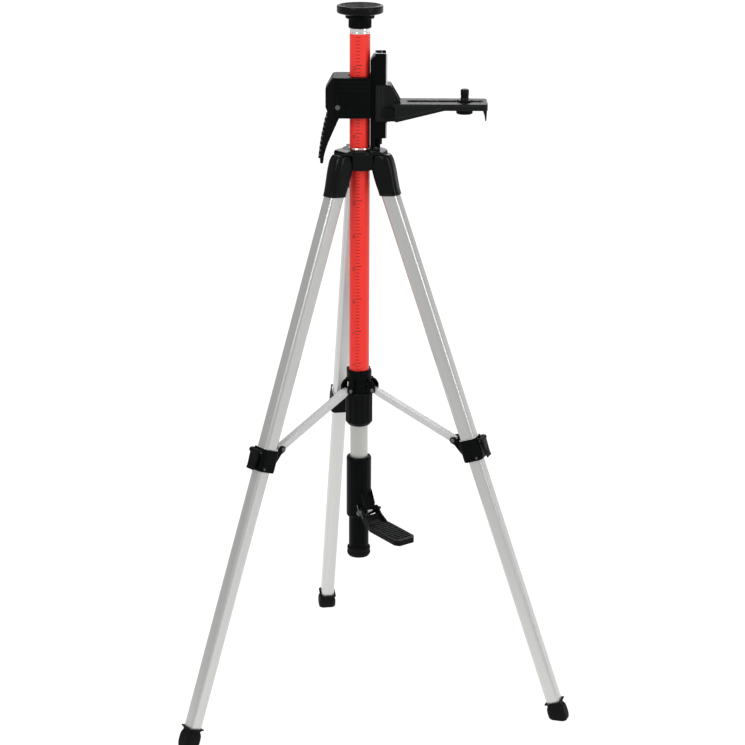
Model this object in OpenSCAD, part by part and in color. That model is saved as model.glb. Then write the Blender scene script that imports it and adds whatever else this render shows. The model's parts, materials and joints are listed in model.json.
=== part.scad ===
// Telescopic laser pole on a folding tripod.
// Millimetres, +Z up. The origin is on the pole's axis at floor level, and the laser arm
// points along +X.

/* [Pole] */
// Outside diameter of the outer tube
tube_d = 30; // [29.6:0.1:30.4]
// Wall of the outer tube
tube_wall = 1.3; // [1.1:0.1:1.4]
// Height of the outer tube's lower end
tube_bottom_z = 449; // [447:1:450]
// Height of the outer tube's upper end
tube_top_z = 1031; // [1026:1:1034]
// Outside diameter of the inner tube
inner_d = 26.6; // [26.4:0.1:26.8]
// Diameter of the ceiling pad
pad_d = 67.6; // [60:0.2:72]

/* [Laser carriage] */
// Height of the clamp body's lower face
clamp_z = 911; // [908:1:914]
// Height of the clamp body
clamp_h = 59; // [57:1:60]
// Half width of the clamp body, front to back
clamp_half_w = 28; // [26:0.5:30]
// Height of the arm's upper face
arm_z = 932; // [930:0.5:934]
// Distance from the pole's axis to the arm's far end
arm_reach = 186; // [184:1:190]
// Half width of the arm
arm_half_w = 26; // [24:0.5:28]
// Distance from the pole's axis to the laser stud
stud_x = 153; // [140:1:160]
// Diameter of the laser stud's head
stud_d = 12.7; // [12.4:0.1:13]

/* [Tripod] */
// Azimuth of the first leg, from the arm
first_leg_azimuth = 340; // [335:1:345]
// Distance from the pole's axis to a leg's hinge pin
pivot_r = 34; // [33.8:0.1:34.4]
// Height of the legs' hinge pins
pivot_z = 838; // [836:1:840]
// Radius of the circle that the legs' axes meet the floor on
foot_circle_r = 329.5; // [320:0.5:340]
// Side of the upper leg's square tube
upper_leg_w = 23.5; // [23.3:0.1:23.6]
// Side of the lower leg's square tube
lower_leg_w = 20.5; // [20.2:0.1:20.6]
// Distance down the leg from its hinge pin to the leg lock's upper face
lock_s = 428; // [426:1:430]

/* [Pole foot] */
// Azimuth of the foot pedal, from the arm
pedal_azimuth = -51; // [-56:1:-46]
// Distance from the pole's axis to the pedal's tip
pedal_reach = 116; // [106:1:118]
// Height of the foot housing's lower face
housing_z = 288; // [286:1:290]

/* [Hidden] */
$fn = 64;

tube_r = tube_d / 2;
tube_bore_r = tube_r - tube_wall;
inner_r = inner_d / 2;
slide_gap = 0.08;    // a round part that slides or turns in a bore
free_gap = 0.3;      // two pieces that move past each other
through = 1;         // how far a cut runs past the face that it opens

// Pole head
ferrule_h = 8;
neck_h = 13.8;
neck_r = 16.8;
flange_h = 5;
flange_r = 21.5;
ferrule_z = tube_top_z;
neck_z = ferrule_z + ferrule_h;
flange_z = neck_z + neck_h;
pad_z = flange_z + flange_h + free_gap;
pad_disc_h = 10.4;
pad_facing_h = 3.5;
swivel_r = 6;
thread_r = 10;

// Pole lock at the outer tube's lower end
nut_z = tube_bottom_z - 13;
nut_h = 53;
nut_r = 20.5;
nut_flutes = 14;
lock_thread_r = 17.5;
lock_neck_r = 16.6;
lock_top_z = 508.7;

// Inner tube and foot
inner_wall = 1.2;
inner_bottom_z = housing_z + 52;
inner_top_z = 720;
housing_h = 97;
housing_r = 19.1;
foot_tube_r = 15.3;
foot_tube_wall = 1.6;
foot_tube_top_z = housing_z + 30;
foot_rubber_z = 222;
foot_rubber_r = 18;
foot_rubber_h = 24;
pedal_pivot_r = 25;
pedal_pivot_z = housing_z + 14;
pedal_pin_r = 2.5;
pedal_half_w = 19;
pedal_cheek_y = 14;
pedal_cheek_w = 3.5;
tread_h = 9;

// Carriage
cam_x = -32;
cam_z = clamp_z + 16;
cam_r = 7;
cam_throw = 1;
cam_pin_r = 2.5;
lever_half_w = 10.5;
plate_x = 16.2;
rail_z = 864.5;
rail_h = 135.5;
slider_x = 22.4;
slider_face_x = 40;
slider_z = 880;
slider_h = 124;
slider_half_w = 17;
rack_root_x = 30.8;
rack_module = 1;
rack_teeth = 40;
rack_pitch = PI * rack_module;
pinion_teeth = 20;
pinion_x = rack_root_x + 1.1 * rack_module + pinion_teeth * rack_module / 2;
pinion_z = 916;
knob_y = -27.5;
knob_r = 10;
arm_root_z = 905;
arm_edge_z = arm_z - 9.5;
arm_plate_h = 4;
arm_skirt_w = 3;
slot_start_x = 69.5;
slot_end_x = 180;
slot_half_w = 6.2;

// Tripod
leg_tilt = atan((foot_circle_r - pivot_r) / pivot_z);
cap_len = 44;
cap_w = 28.5;
cap_top_r = 18.3;
cap_inner_r = 11.5;
lug_w = 14;
lug_r = 12;
cap_slot_r = 14;
hub_top_z = pivot_z + 25;
hub_plate_h = 6.2;
hub_sleeve_r = 21;
hub_pin_r = 3;
leg_wall = 1.2;
lock_len = 34;
lock_w = 31;
upper_leg_len = lock_s + 24;
lower_leg_top_s = 400;
lower_leg_end_s = 872;
foot_top_s = 862;
foot_r = 16;
lug_pin_s = 424.4;
lug_pin_n = -23.5;
brace_w = 12;
brace_h = 8.6;
brace_wall = 1.3;
brace_pin_r = 2;
ear_gap = 0.3;
ear_w = 3;
ear_r = 5;
lever_pin_s = lock_s + 6;
lever_pin_n = lock_w / 2 + 3.8;
lever_barrel_r = 3.5;
collar_pin_r = 24;
collar_pin_z = 494;
collar_ring_z = 509;
collar_ring_h = 15;
collar_ring_r = 18.9;
brace_tip_gap = 3;

function leg_azimuth(i) = first_leg_azimuth - 120 * (i - 1);

// Height and distance from the axis of the pin that joins a brace to its leg
brace_pin_x = pivot_r + lug_pin_s * sin(leg_tilt) + lug_pin_n * cos(leg_tilt);
brace_pin_z = pivot_z - lug_pin_s * cos(leg_tilt) + lug_pin_n * sin(leg_tilt);
brace_len = norm([brace_pin_x - collar_pin_r, collar_pin_z - brace_pin_z]);
brace_slope = atan((collar_pin_z - brace_pin_z) / (brace_pin_x - collar_pin_r));

// Outline of a square of side w whose corners are arcs of radius r
function rounded_square(w, r, steps = 6) = [
    for (corner = [0:3]) for (k = [0:steps])
        let (a = 90 * corner + 90 * k / steps, c = 90 * corner + 45)
            [(w / 2 - r) * sqrt(2) * cos(c) + r * cos(a), (w / 2 - r) * sqrt(2) * sin(c) + r * sin(a)]
];

// Points along an arc of radius r about a centre
function arc(centre, r, a0, a1, steps = 10) = [
    for (k = [0:steps]) let (a = a0 + (a1 - a0) * k / steps) centre + r * [cos(a), sin(a)]
];

module ring(r_out, r_in, z0, z1) {
    translate([0, 0, z0]) difference() {
        cylinder(r = r_out, h = z1 - z0);
        translate([0, 0, -through]) cylinder(r = r_in, h = z1 - z0 + 2 * through);
    }
}

// A bar across Y, centred on the plane y = 0
module cross_bar(x, z, r, half_len) {
    translate([x, half_len, z]) rotate([90, 0, 0]) cylinder(r = r, h = 2 * half_len);
}

// An outline drawn in X and Z, given thickness from y0 to y1
module side_plate(points, y0, y1) {
    translate([0, y1, 0]) rotate([90, 0, 0]) linear_extrude(y1 - y0) polygon(points);
}

module block(x0, x1, y0, y1, z0, z1) {
    translate([x0, y0, z0]) cube([x1 - x0, y1 - y0, z1 - z0]);
}

// Leg i's frame: its origin on the hinge pin, -Z down the leg and +X outwards
module on_leg(i) {
    rotate([0, 0, leg_azimuth(i)]) translate([pivot_r, 0, pivot_z]) rotate([0, -leg_tilt, 0])
        children();
}

// ---- Pole ----

module outer_tube() {
    color([0.86, 0.16, 0.13]) ring(tube_r, tube_bore_r, tube_bottom_z, tube_top_z);
}

module coupling_ferrule() {
    color("silver") difference() {
        union() {
            translate([0, 0, ferrule_z]) cylinder(r = tube_r, h = ferrule_h);
            translate([0, 0, ferrule_z - 26]) cylinder(r = tube_bore_r, h = 26 + through / 2);
        }
        translate([0, 0, ferrule_z - 27]) cylinder(r = thread_r, h = 27 + ferrule_h + through);
    }
}

module pad_carrier() {
    color([0.08, 0.08, 0.09]) {
        translate([0, 0, neck_z]) cylinder(r = neck_r, h = neck_h);
        translate([0, 0, neck_z - 20]) cylinder(r = thread_r, h = 20 + through);
        translate([0, 0, flange_z]) cylinder(r = flange_r, h = flange_h);
        translate([0, 0, flange_z]) cylinder(r = swivel_r, h = flange_h + 6);
    }
}

module pad_disc() {
    color([0.08, 0.08, 0.09]) translate([0, 0, pad_z]) difference() {
        union() {
            cylinder(r1 = pad_d / 2 - 9, r2 = pad_d / 2, h = 2.5);
            translate([0, 0, 2.5]) cylinder(r = pad_d / 2, h = pad_disc_h - 2.5);
        }
        translate([0, 0, -through]) cylinder(r = swivel_r + slide_gap, h = 6.2 + through);
    }
}

module pad_facing() {
    color([0.15, 0.15, 0.16]) translate([0, 0, pad_z + pad_disc_h]) {
        cylinder(r = pad_d / 2 - 0.5, h = pad_facing_h - 1);
        translate([0, 0, pad_facing_h - 1]) cylinder(r1 = pad_d / 2 - 0.5, r2 = pad_d / 2 - 1.5, h = 1);
    }
}

module lock_body() {
    color([0.08, 0.08, 0.09]) difference() {
        union() {
            translate([0, 0, nut_z + 5]) cylinder(r1 = 15, r2 = lock_thread_r - 0.5, h = 14);
            translate([0, 0, nut_z + 19]) cylinder(r = lock_thread_r, h = nut_h - 21);
            translate([0, 0, nut_z + nut_h - 2]) cylinder(r = lock_neck_r, h = lock_top_z - nut_z - nut_h + 2);
        }
        translate([0, 0, nut_z]) cylinder(r = inner_r + slide_gap, h = 30);
        translate([0, 0, tube_bottom_z]) cylinder(r = tube_r, h = 100);
        for (a = [45, 135]) rotate([0, 0, a])
            block(-20, 20, -0.8, 0.8, nut_z, tube_bottom_z - 1);
    }
}

module lock_nut() {
    color([0.07, 0.07, 0.08]) difference() {
        union() {
            translate([0, 0, nut_z]) cylinder(r1 = nut_r - 4.5, r2 = nut_r, h = 5);
            translate([0, 0, nut_z + 5]) cylinder(r = nut_r, h = nut_h - 8);
            translate([0, 0, nut_z + nut_h - 3]) cylinder(r1 = nut_r, r2 = nut_r - 2, h = 3);
        }
        translate([0, 0, nut_z - through]) cylinder(r = inner_r + free_gap, h = nut_h);
        translate([0, 0, nut_z + 4]) cylinder(r = lock_thread_r + free_gap, h = nut_h);
        for (k = [0:nut_flutes - 1]) rotate([0, 0, 360 * k / nut_flutes])
            translate([nut_r + 1.6, 0, nut_z - through]) cylinder(r = 2.6, h = nut_h - 4);
    }
}

module inner_tube() {
    color([0.78, 0.78, 0.77]) ring(inner_r, inner_r - inner_wall, inner_bottom_z, inner_top_z);
}

module guide_bush() {
    color([0.85, 0.85, 0.82]) difference() {
        union() {
            translate([0, 0, inner_top_z]) cylinder(r = tube_bore_r - slide_gap, h = 9);
            translate([0, 0, inner_top_z - 16]) cylinder(r = inner_r - inner_wall, h = 17);
        }
        translate([0, 0, inner_top_z - 17]) cylinder(r = 8, h = 30);
    }
}

// ---- Pole foot ----

module foot_housing() {
    color([0.08, 0.08, 0.09]) difference() {
        union() {
            translate([0, 0, housing_z + 4]) cylinder(r = housing_r, h = housing_h - 7);
            translate([0, 0, housing_z]) cylinder(r1 = housing_r - 2, r2 = housing_r, h = 4);
            translate([0, 0, housing_z + housing_h - 3])
                cylinder(r1 = housing_r, r2 = housing_r - 1.5, h = 3);
            rotate([0, 0, pedal_azimuth]) difference() {
                side_plate([[0, housing_z + 40], [housing_r, housing_z + 34],
                    [pedal_pivot_r + 5, pedal_pivot_z + 3], [pedal_pivot_r + 4, pedal_pivot_z - 5],
                    [housing_r, housing_z + 3], [0, housing_z + 3]],
                    -pedal_cheek_y + pedal_cheek_w, pedal_cheek_y - pedal_cheek_w);
                cross_bar(pedal_pivot_r, pedal_pivot_z, pedal_pin_r, 30);
            }
        }
        translate([0, 0, housing_z + 40]) cylinder(r = inner_r, h = 80);
        translate([0, 0, housing_z - through]) cylinder(r = foot_tube_r + slide_gap, h = 53 + through);
    }
}

module pedal_pin() {
    color("silver") rotate([0, 0, pedal_azimuth])
        cross_bar(pedal_pivot_r, pedal_pivot_z, pedal_pin_r, pedal_cheek_y + 8.5);
}

// Torsion spring wound on one end of the pedal's pin
module pedal_spring() {
    color("silver") rotate([0, 0, pedal_azimuth])
        translate([pedal_pivot_r, -pedal_cheek_y - pedal_cheek_w / 2 - 2 * free_gap, pedal_pivot_z]) rotate([90, 0, 0])
            for (turn = [0:2]) rotate_extrude() translate([3.5, 0.8 + 1.7 * turn]) circle(r = 0.8, $fn = 24);
}

module foot_pedal() {
    tread_x0 = 42;
    cheek = concat(
        arc([pedal_pivot_r, pedal_pivot_z], 6, 200, 20),
        [[tread_x0 + 8, housing_z], [tread_x0 + 8, housing_z - tread_h], [tread_x0 - 6, housing_z - tread_h]]
    );
    color([0.09, 0.09, 0.1]) rotate([0, 0, pedal_azimuth]) difference() {
        union() {
            for (side = [-1, 1])
                side_plate(cheek, side * pedal_cheek_y - pedal_cheek_w / 2 + free_gap * side,
                    side * pedal_cheek_y + pedal_cheek_w / 2 + free_gap * side);
            intersection() {
                side_plate([[tread_x0, housing_z], [pedal_reach, housing_z - 5],
                    [pedal_reach + 1, housing_z - 8], [pedal_reach - 4, housing_z - 5 - tread_h],
                    [tread_x0, housing_z - tread_h]], -pedal_half_w, pedal_half_w);
                linear_extrude(housing_z + 10) polygon([
                    [tread_x0 - through, -pedal_cheek_y - 2], [tread_x0 + 8, -pedal_half_w],
                    [pedal_reach - 6, -pedal_half_w], [pedal_reach + 2, -pedal_half_w + 5],
                    [pedal_reach + 2, pedal_half_w - 5], [pedal_reach - 6, pedal_half_w],
                    [tread_x0 + 8, pedal_half_w], [tread_x0 - through, pedal_cheek_y + 2]]);
            }
        }
        cross_bar(pedal_pivot_r, pedal_pivot_z, pedal_pin_r + slide_gap, 30);
    }
}

module foot_tube() {
    color([0.08, 0.08, 0.09])
        ring(foot_tube_r, foot_tube_r - foot_tube_wall, foot_rubber_z + 6, foot_tube_top_z);
}

// Rubber foot with a wide ring and a plug inside the foot tube
module foot_rubber() {
    inside_r = foot_tube_r - foot_tube_wall;
    color([0.06, 0.06, 0.06]) translate([0, 0, foot_rubber_z]) {
        cylinder(r1 = foot_rubber_r - 2.5, r2 = foot_rubber_r, h = 6);
        ring(foot_rubber_r, foot_tube_r, 6, foot_rubber_h - 8);
        translate([0, 0, 5]) cylinder(r = inside_r, h = 24);
    }
}

// Compression spring between the inner tube's end and the foot's plug
module foot_spring() {
    coil_z0 = foot_rubber_z + 30.6;
    turns = 9;
    pitch = (inner_bottom_z - 1.6 - coil_z0) / (turns - 1);
    color("silver") for (turn = [0:turns - 1])
        translate([0, 0, coil_z0 + pitch * turn]) rotate_extrude() translate([12.4, 0]) circle(r = 0.9, $fn = 24);
}

// ---- Laser carriage ----

module clamp_body() {
    top_z = clamp_z + clamp_h;
    front = [[plate_x, clamp_z], [plate_x, top_z], [-39.5, top_z], [-50, top_z - 18],
        [-50, clamp_z + 14], [-44, clamp_z + 3], [-38, clamp_z]];
    plan = [[plate_x, -clamp_half_w + 3], [plate_x - 3, -clamp_half_w], [-37, -clamp_half_w], [-51, -13],
        [-51, 13], [-37, clamp_half_w], [plate_x - 3, clamp_half_w], [plate_x, clamp_half_w - 3]];
    pocket_half_w = lever_half_w + 0.4;
    color([0.08, 0.08, 0.09]) difference() {
        intersection() {
            side_plate(front, -clamp_half_w, clamp_half_w);
            translate([0, 0, clamp_z]) linear_extrude(clamp_h) polygon(plan);
        }
        translate([0, 0, clamp_z - through]) cylinder(r = tube_r + slide_gap, h = clamp_h + 2 * through);
        block(-52, cam_x + cam_r, -pocket_half_w, pocket_half_w, clamp_z - through, clamp_z + 40);
        block(cam_x, -5, -pocket_half_w, pocket_half_w, clamp_z + 4, clamp_z + 34);
        cross_bar(cam_x, cam_z, cam_pin_r, 40);
    }
}

// Shoe that the cam presses against the tube
module clamp_shoe() {
    face_x = cam_x + cam_r + cam_throw + free_gap;
    color([0.3, 0.3, 0.3]) difference() {
        block(face_x, -5.5, -lever_half_w, lever_half_w, clamp_z + 5, clamp_z + 33);
        translate([0, 0, clamp_z]) cylinder(r = tube_r + slide_gap, h = clamp_h);
    }
}

module cam_lever() {
    tip = [-57.5, cam_z - 86];
    outline = [[-36, cam_z + 5], [-43, cam_z - 3], [-49, cam_z - 23], [-53, cam_z - 43], [-56.5, cam_z - 62],
        [-58, cam_z - 78], tip, [-54, cam_z - 85], [-52.5, cam_z - 75], [-47.3, cam_z - 58],
        [-41.5, cam_z - 44], [-34.5, cam_z - 29], [-28.5, cam_z - 15], [-27, cam_z - 4]];
    ridges = 10;
    color([0.07, 0.07, 0.08]) difference() {
        union() {
            side_plate(outline, -lever_half_w, lever_half_w);
            cross_bar(cam_x, cam_z, cam_r, lever_half_w);
            cross_bar(cam_x + cam_throw, cam_z, cam_r, lever_half_w);
            for (k = [0:ridges - 1]) let (t = k / (ridges - 1), z = cam_z - 24 - 56 * t)
                cross_bar(-48.6 - 8.6 * t - 1.4 * sin(180 * t), z, 1.5, lever_half_w - 0.5);
        }
        cross_bar(cam_x, cam_z, cam_pin_r + slide_gap, 30);
    }
}

module cam_pin() {
    color("silver") cross_bar(cam_x, cam_z, cam_pin_r, 20);
}

// Outline of a rack in X and Z: its back is at rack_root_x - 1 and its teeth point along +X
function rack_outline(z0) = concat(
    [[rack_root_x - 1, z0 + rack_teeth * rack_pitch], [rack_root_x - 1, z0]],
    [for (k = [0:rack_teeth - 1]) for (p = [[0, 0.14], [2.2, 0.36], [2.2, 0.64], [0, 0.86]])
        [rack_root_x + p[0] * rack_module, z0 + (k + p[1]) * rack_pitch]]
);

// Plate on the clamp body with a T-shaped guide and a rack along its face
module guide_rail() {
    color([0.1, 0.1, 0.11]) difference() {
        union() {
            side_plate([[plate_x, rail_z], [slider_x - free_gap, rail_z],
                [slider_x - free_gap, rail_z + rail_h], [plate_x + 4, rail_z + rail_h],
                [plate_x, rail_z + rail_h - 7]], -16, 16);
            block(slider_x - 1, 26, -6, 6, rail_z, rail_z + rail_h);
            block(25.5, rack_root_x - 0.5, -10, 10, rail_z, rail_z + rail_h);
            side_plate(rack_outline(rail_z + 4), -4, 4);
        }
        for (z = [clamp_z + 12, clamp_z + clamp_h - 12]) for (y = [-12.5, 12.5])
            translate([plate_x - through, y, z]) rotate([0, 90, 0]) cylinder(r = 2, h = 20);
    }
}

module rail_screws() {
    color("dimgray") for (z = [clamp_z + 12, clamp_z + clamp_h - 12]) for (y = [-12.5, 12.5])
        translate([plate_x, y, z]) rotate([0, 90, 0]) cylinder(r = 2, h = slider_x - free_gap - plate_x);
}

// Slider that wraps the guide's T and carries the arm
module arm_slider() {
    z0 = slider_z;
    z1 = slider_z + slider_h;
    g = free_gap;
    color([0.08, 0.08, 0.09]) difference() {
        block(slider_x, slider_face_x, -slider_half_w, slider_half_w, z0, z1);
        block(slider_x - through, 26, -6 - g, 6 + g, z0 - through, z1 + through);
        block(25.5 - g, rack_root_x + g - 0.5, -10 - g, 10 + g, z0 - through, z1 + through);
        block(30, rack_root_x + 2.2 + g, -4 - g, 4 + g, z0 - through, z1 + through);
        cross_bar(pinion_x, pinion_z, 11.6, 4.8);
        cross_bar(pinion_x, pinion_z, 3 + slide_gap, 30);
    }
}

// Platform with a slot, side skirts, a root that bolts to the slider, two gussets and a claw
module laser_arm() {
    root_x = slider_face_x;
    skirt = [[51, arm_root_z + 1], [51, arm_z], [arm_reach, arm_z], [arm_reach, arm_edge_z],
        [123, arm_edge_z]];
    color([0.1, 0.1, 0.11]) difference() {
        union() {
            block(51, arm_reach, -arm_half_w, arm_half_w, arm_z - arm_plate_h, arm_z);
            for (side = [-1, 1])
                side_plate(skirt, side * arm_half_w - (side > 0 ? arm_skirt_w : 0),
                    side * arm_half_w + (side > 0 ? 0 : arm_skirt_w));
            block(arm_reach - 3, arm_reach, -arm_half_w, arm_half_w, arm_edge_z, arm_z);
            block(root_x, root_x + 14, -slider_half_w, slider_half_w, arm_root_z, arm_z);
            block(51, 54, -arm_half_w, arm_half_w, arm_root_z + 1, arm_z);
            block(root_x, root_x + 5, -slider_half_w, slider_half_w, arm_z - 1, arm_z + 26);
            for (side = [-1, 1])
                side_plate([[root_x, arm_z - 1], [root_x, arm_z + 26], [root_x + 5, arm_z + 26],
                    [root_x + 18, arm_z + 6], [root_x + 18, arm_z - 1]],
                    side * slider_half_w - (side > 0 ? 4 : 0), side * slider_half_w + (side > 0 ? 0 : 4));
            side_plate([[arm_reach - 7, arm_edge_z + 1], [arm_reach, arm_edge_z + 1],
                [arm_reach - 0.6, arm_edge_z - 19.5], [arm_reach - 2.4, arm_edge_z - 19.5],
                [arm_reach - 4, arm_edge_z - 8]], -2.5, 2.5);
        }
        for (side = [-1, 1]) corner_cut(side);
        block(slot_start_x + slot_half_w, slot_end_x - slot_half_w, -slot_half_w, slot_half_w,
            arm_z - 10, arm_z + 10);
        for (x = [slot_start_x + slot_half_w, slot_end_x - slot_half_w])
            translate([x, 0, arm_z - 9]) cylinder(r = slot_half_w, h = 20);
        cross_bar(pinion_x, pinion_z, 11.6, 4.8);
        cross_bar(pinion_x, pinion_z, 3 + slide_gap, 30);
        translate([pinion_x, -slider_half_w - 0.4, pinion_z]) rotate([90, 0, 0])
            cylinder(r = knob_r + 0.8, h = 14);
        for (z = [arm_z + 8, arm_z + 20]) for (y = [-9, 9])
            translate([root_x - through, y, z]) rotate([0, 90, 0]) cylinder(r = 2, h = 10);
    }
}

// Rounds off one far corner of the arm
module corner_cut(side) {
    r = 6;
    translate([arm_reach - r, side * (arm_half_w - r), arm_z - 15]) difference() {
        translate([0, side > 0 ? 0 : -r - 1, 0]) cube([r + 1, r + 1, 30]);
        translate([0, 0, -through]) cylinder(r = r, h = 32);
    }
}

module arm_screws() {
    color("dimgray") for (z = [arm_z + 8, arm_z + 20]) for (y = [-9, 9])
        translate([slider_face_x, y, z]) rotate([0, 90, 0]) {
            cylinder(r = 2, h = 5);
            translate([0, 0, 5]) cylinder(r = 3.6, h = 2);
        }
}

// Outline of the pinion, with one tooth space centred on the -X direction at its mesh
function pinion_outline(n, m) = [
    for (k = [0:n - 1]) for (p = [[-1.2, -0.24], [0.85, -0.10], [0.85, 0.10], [-1.2, 0.24]])
        let (r = n * m / 2 + p[0] * m, a = 180 + 360 * (k + 0.5 + p[1] + pinion_phase) / n)
            [r * cos(a), r * sin(a)]
];
// Part of a tooth by which the pinion is turned to mesh with the rack at rest
pinion_phase = (pinion_z - rail_z - 4) / rack_pitch - floor((pinion_z - rail_z - 4) / rack_pitch) - 0.5;

module adjust_knob() {
    color([0.08, 0.08, 0.09]) {
        translate([pinion_x, 0, pinion_z]) rotate([90, 0, 0]) {
            translate([0, 0, -4]) linear_extrude(8) polygon(pinion_outline(pinion_teeth, rack_module));
            translate([0, 0, -12]) cylinder(r = 3, h = 12 + 20);
            difference() {
                translate([0, 0, slider_half_w + 1]) cylinder(r = knob_r, h = -knob_y - slider_half_w - 1);
                for (k = [0:11]) rotate([0, 0, 30 * k])
                    translate([10.6, 0, slider_half_w]) cylinder(r = 1.4, h = 12);
            }
        }
    }
}

module laser_stud() {
    color([0.08, 0.08, 0.08]) translate([stud_x, 0, 0]) {
        translate([0, 0, arm_z + 8]) cylinder(r = stud_d / 2, h = 10.5);
        translate([0, 0, arm_z - arm_plate_h]) cylinder(r = 5.9, h = arm_plate_h + 8);
        translate([0, 0, arm_z]) cylinder(r = 11.15, h = 3);
        translate([0, 0, arm_z - 15.6]) cylinder(r = 4, h = 15.6);
    }
}

module stud_knob() {
    top_z = arm_z - arm_plate_h - free_gap;
    color([0.07, 0.07, 0.08]) translate([stud_x, 0, arm_z - 18]) difference() {
        union() {
            cylinder(r1 = 11.3, r2 = 12.1, h = 1);
            translate([0, 0, 1]) cylinder(r = 12.1, h = top_z - arm_z + 17);
        }
        translate([0, 0, 2]) cylinder(r = 4 + slide_gap, h = 30);
        for (k = [0:17]) rotate([0, 0, 20 * k]) translate([12.8, 0, -through]) cylinder(r = 1.3, h = 20);
    }
}

// ---- Tripod ----

// Hub: a sleeve on the outer tube, a three-lobed top plate and three hinge lugs
module tripod_hub() {
    plate_z = hub_top_z - hub_plate_h;
    color([0.08, 0.08, 0.09]) difference() {
        union() {
            translate([0, 0, pivot_z - 5]) cylinder(r = hub_sleeve_r, h = plate_z - pivot_z + 6);
            translate([0, 0, plate_z]) cylinder(r1 = 30, r2 = 26, h = hub_plate_h);
            for (i = [1:3]) rotate([0, 0, leg_azimuth(i)]) {
                side_plate([[0, plate_z], [41, plate_z], [40.2, plate_z + 2.2], [34.5, hub_top_z], [0, hub_top_z]],
                    -cap_w / 2 - 1.5, cap_w / 2 + 1.5);
                side_plate([[0, pivot_z - 5], [pivot_r - 7, pivot_z - 9], [pivot_r, pivot_z - 9],
                    [pivot_r + 2, pivot_z], [pivot_r + 2, plate_z + 1], [0, plate_z + 1]],
                    -lug_w / 2, lug_w / 2);
                cross_bar(pivot_r, pivot_z, lug_r, lug_w / 2);
            }
        }
        translate([0, 0, pivot_z - 30]) cylinder(r = tube_r, h = 80);
        for (i = [1:3]) rotate([0, 0, leg_azimuth(i)]) cross_bar(pivot_r, pivot_z, hub_pin_r, 30);
    }
}

module hub_ring() {
    color("silver") ring(tube_r + 0.9, tube_r, hub_top_z, hub_top_z + 1.6);
}

module hub_pins() {
    color("silver") for (i = [1:3]) rotate([0, 0, leg_azimuth(i)])
        cross_bar(pivot_r, pivot_z, hub_pin_r, cap_w / 2);
}

// Cap that holds the leg's upper tube and hinges on the hub's lug
module leg_cap(i) {
    half = cap_w / 2;
    outline = concat(
        [[half, -cap_len], [half + 2.6, -cap_len * 0.55], [18.5, -14], [19.6, -6], [20.2, 1.4],
            [20.4, 7.5], [18.6, 12.4], [15.4, 15.1], [13.4, 15]],
        arc([0, 0], cap_top_r, 47.2, 92, 8),
        arc([0, 0], cap_inner_r, 110, 190, 8),
        [[-half, -cap_len * 0.5], [-half, -cap_len]]
    );
    color([0.08, 0.08, 0.09]) on_leg(i) difference() {
        side_plate(outline, -half, half);
        side_plate([[0, -cap_slot_r - 0.5], [0, 0], [30 * cos(56), 30 * sin(56)], [-30, 30],
            [-30, -cap_slot_r - 0.5]], -lug_w / 2 - free_gap, lug_w / 2 + free_gap);
        cross_bar(0, 0, cap_slot_r, lug_w / 2 + free_gap);
        translate([0, 0, -cap_len - through]) linear_extrude(cap_len + through - 16)
            polygon(rounded_square(upper_leg_w, 5));
        cross_bar(0, 0, hub_pin_r + slide_gap, 30);
    }
}

module upper_leg(i) {
    bore_w = upper_leg_w - 2 * leg_wall;
    color([0.8, 0.8, 0.78]) on_leg(i) translate([0, 0, -upper_leg_len]) difference() {
        linear_extrude(upper_leg_len - 16) polygon(rounded_square(upper_leg_w, 5));
        translate([0, 0, -through]) linear_extrude(upper_leg_len) polygon(rounded_square(bore_w, 3.8));
    }
}

module lower_leg(i) {
    bore_w = lower_leg_w - 2 * leg_wall;
    color([0.8, 0.8, 0.78]) on_leg(i) translate([0, 0, -lower_leg_end_s]) difference() {
        linear_extrude(lower_leg_end_s - lower_leg_top_s) polygon(rounded_square(lower_leg_w, 3.6));
        translate([0, 0, -through]) linear_extrude(lower_leg_end_s) polygon(rounded_square(bore_w, 2.4));
    }
}

// Lock body on the upper leg's end, with a lug for the brace and knuckles for the lever
module leg_lock(i) {
    bottom_s = lock_s + lock_len;
    lug_in = brace_w / 2 + ear_gap;
    knuckle_in = 9;
    color([0.08, 0.08, 0.09]) on_leg(i) difference() {
        union() {
            translate([0, 0, -bottom_s]) linear_extrude(lock_len) polygon(rounded_square(lock_w, 7));
            for (side = [-1, 1]) {
                side_plate(concat(arc([lug_pin_n, -lug_pin_s], ear_r, 80, 260, 10),
                    [[-lock_w / 2 + 1, -lug_pin_s - 14], [-lock_w / 2 + 1, -lug_pin_s + 2]]),
                    side > 0 ? lug_in : -lug_in - ear_w, side > 0 ? lug_in + ear_w : -lug_in);
                side_plate(concat(arc([lever_pin_n, -lever_pin_s], lever_barrel_r, 110, -70, 10),
                    [[lock_w / 2 - 1, -lever_pin_s - 8], [lock_w / 2 - 1, -lever_pin_s + 4]]),
                    side > 0 ? knuckle_in : -knuckle_in - 3.5, side > 0 ? knuckle_in + 3.5 : -knuckle_in);
            }
        }
        translate([0, 0, -upper_leg_len]) linear_extrude(lock_len) polygon(rounded_square(upper_leg_w, 5));
        translate([0, 0, -bottom_s - through]) linear_extrude(lock_len)
            polygon(rounded_square(lower_leg_w + 2 * free_gap, 3.9));
        cross_bar(lug_pin_n, -lug_pin_s, brace_pin_r, 30);
        cross_bar(lever_pin_n, -lever_pin_s, 1.5, 30);
    }
}

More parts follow.
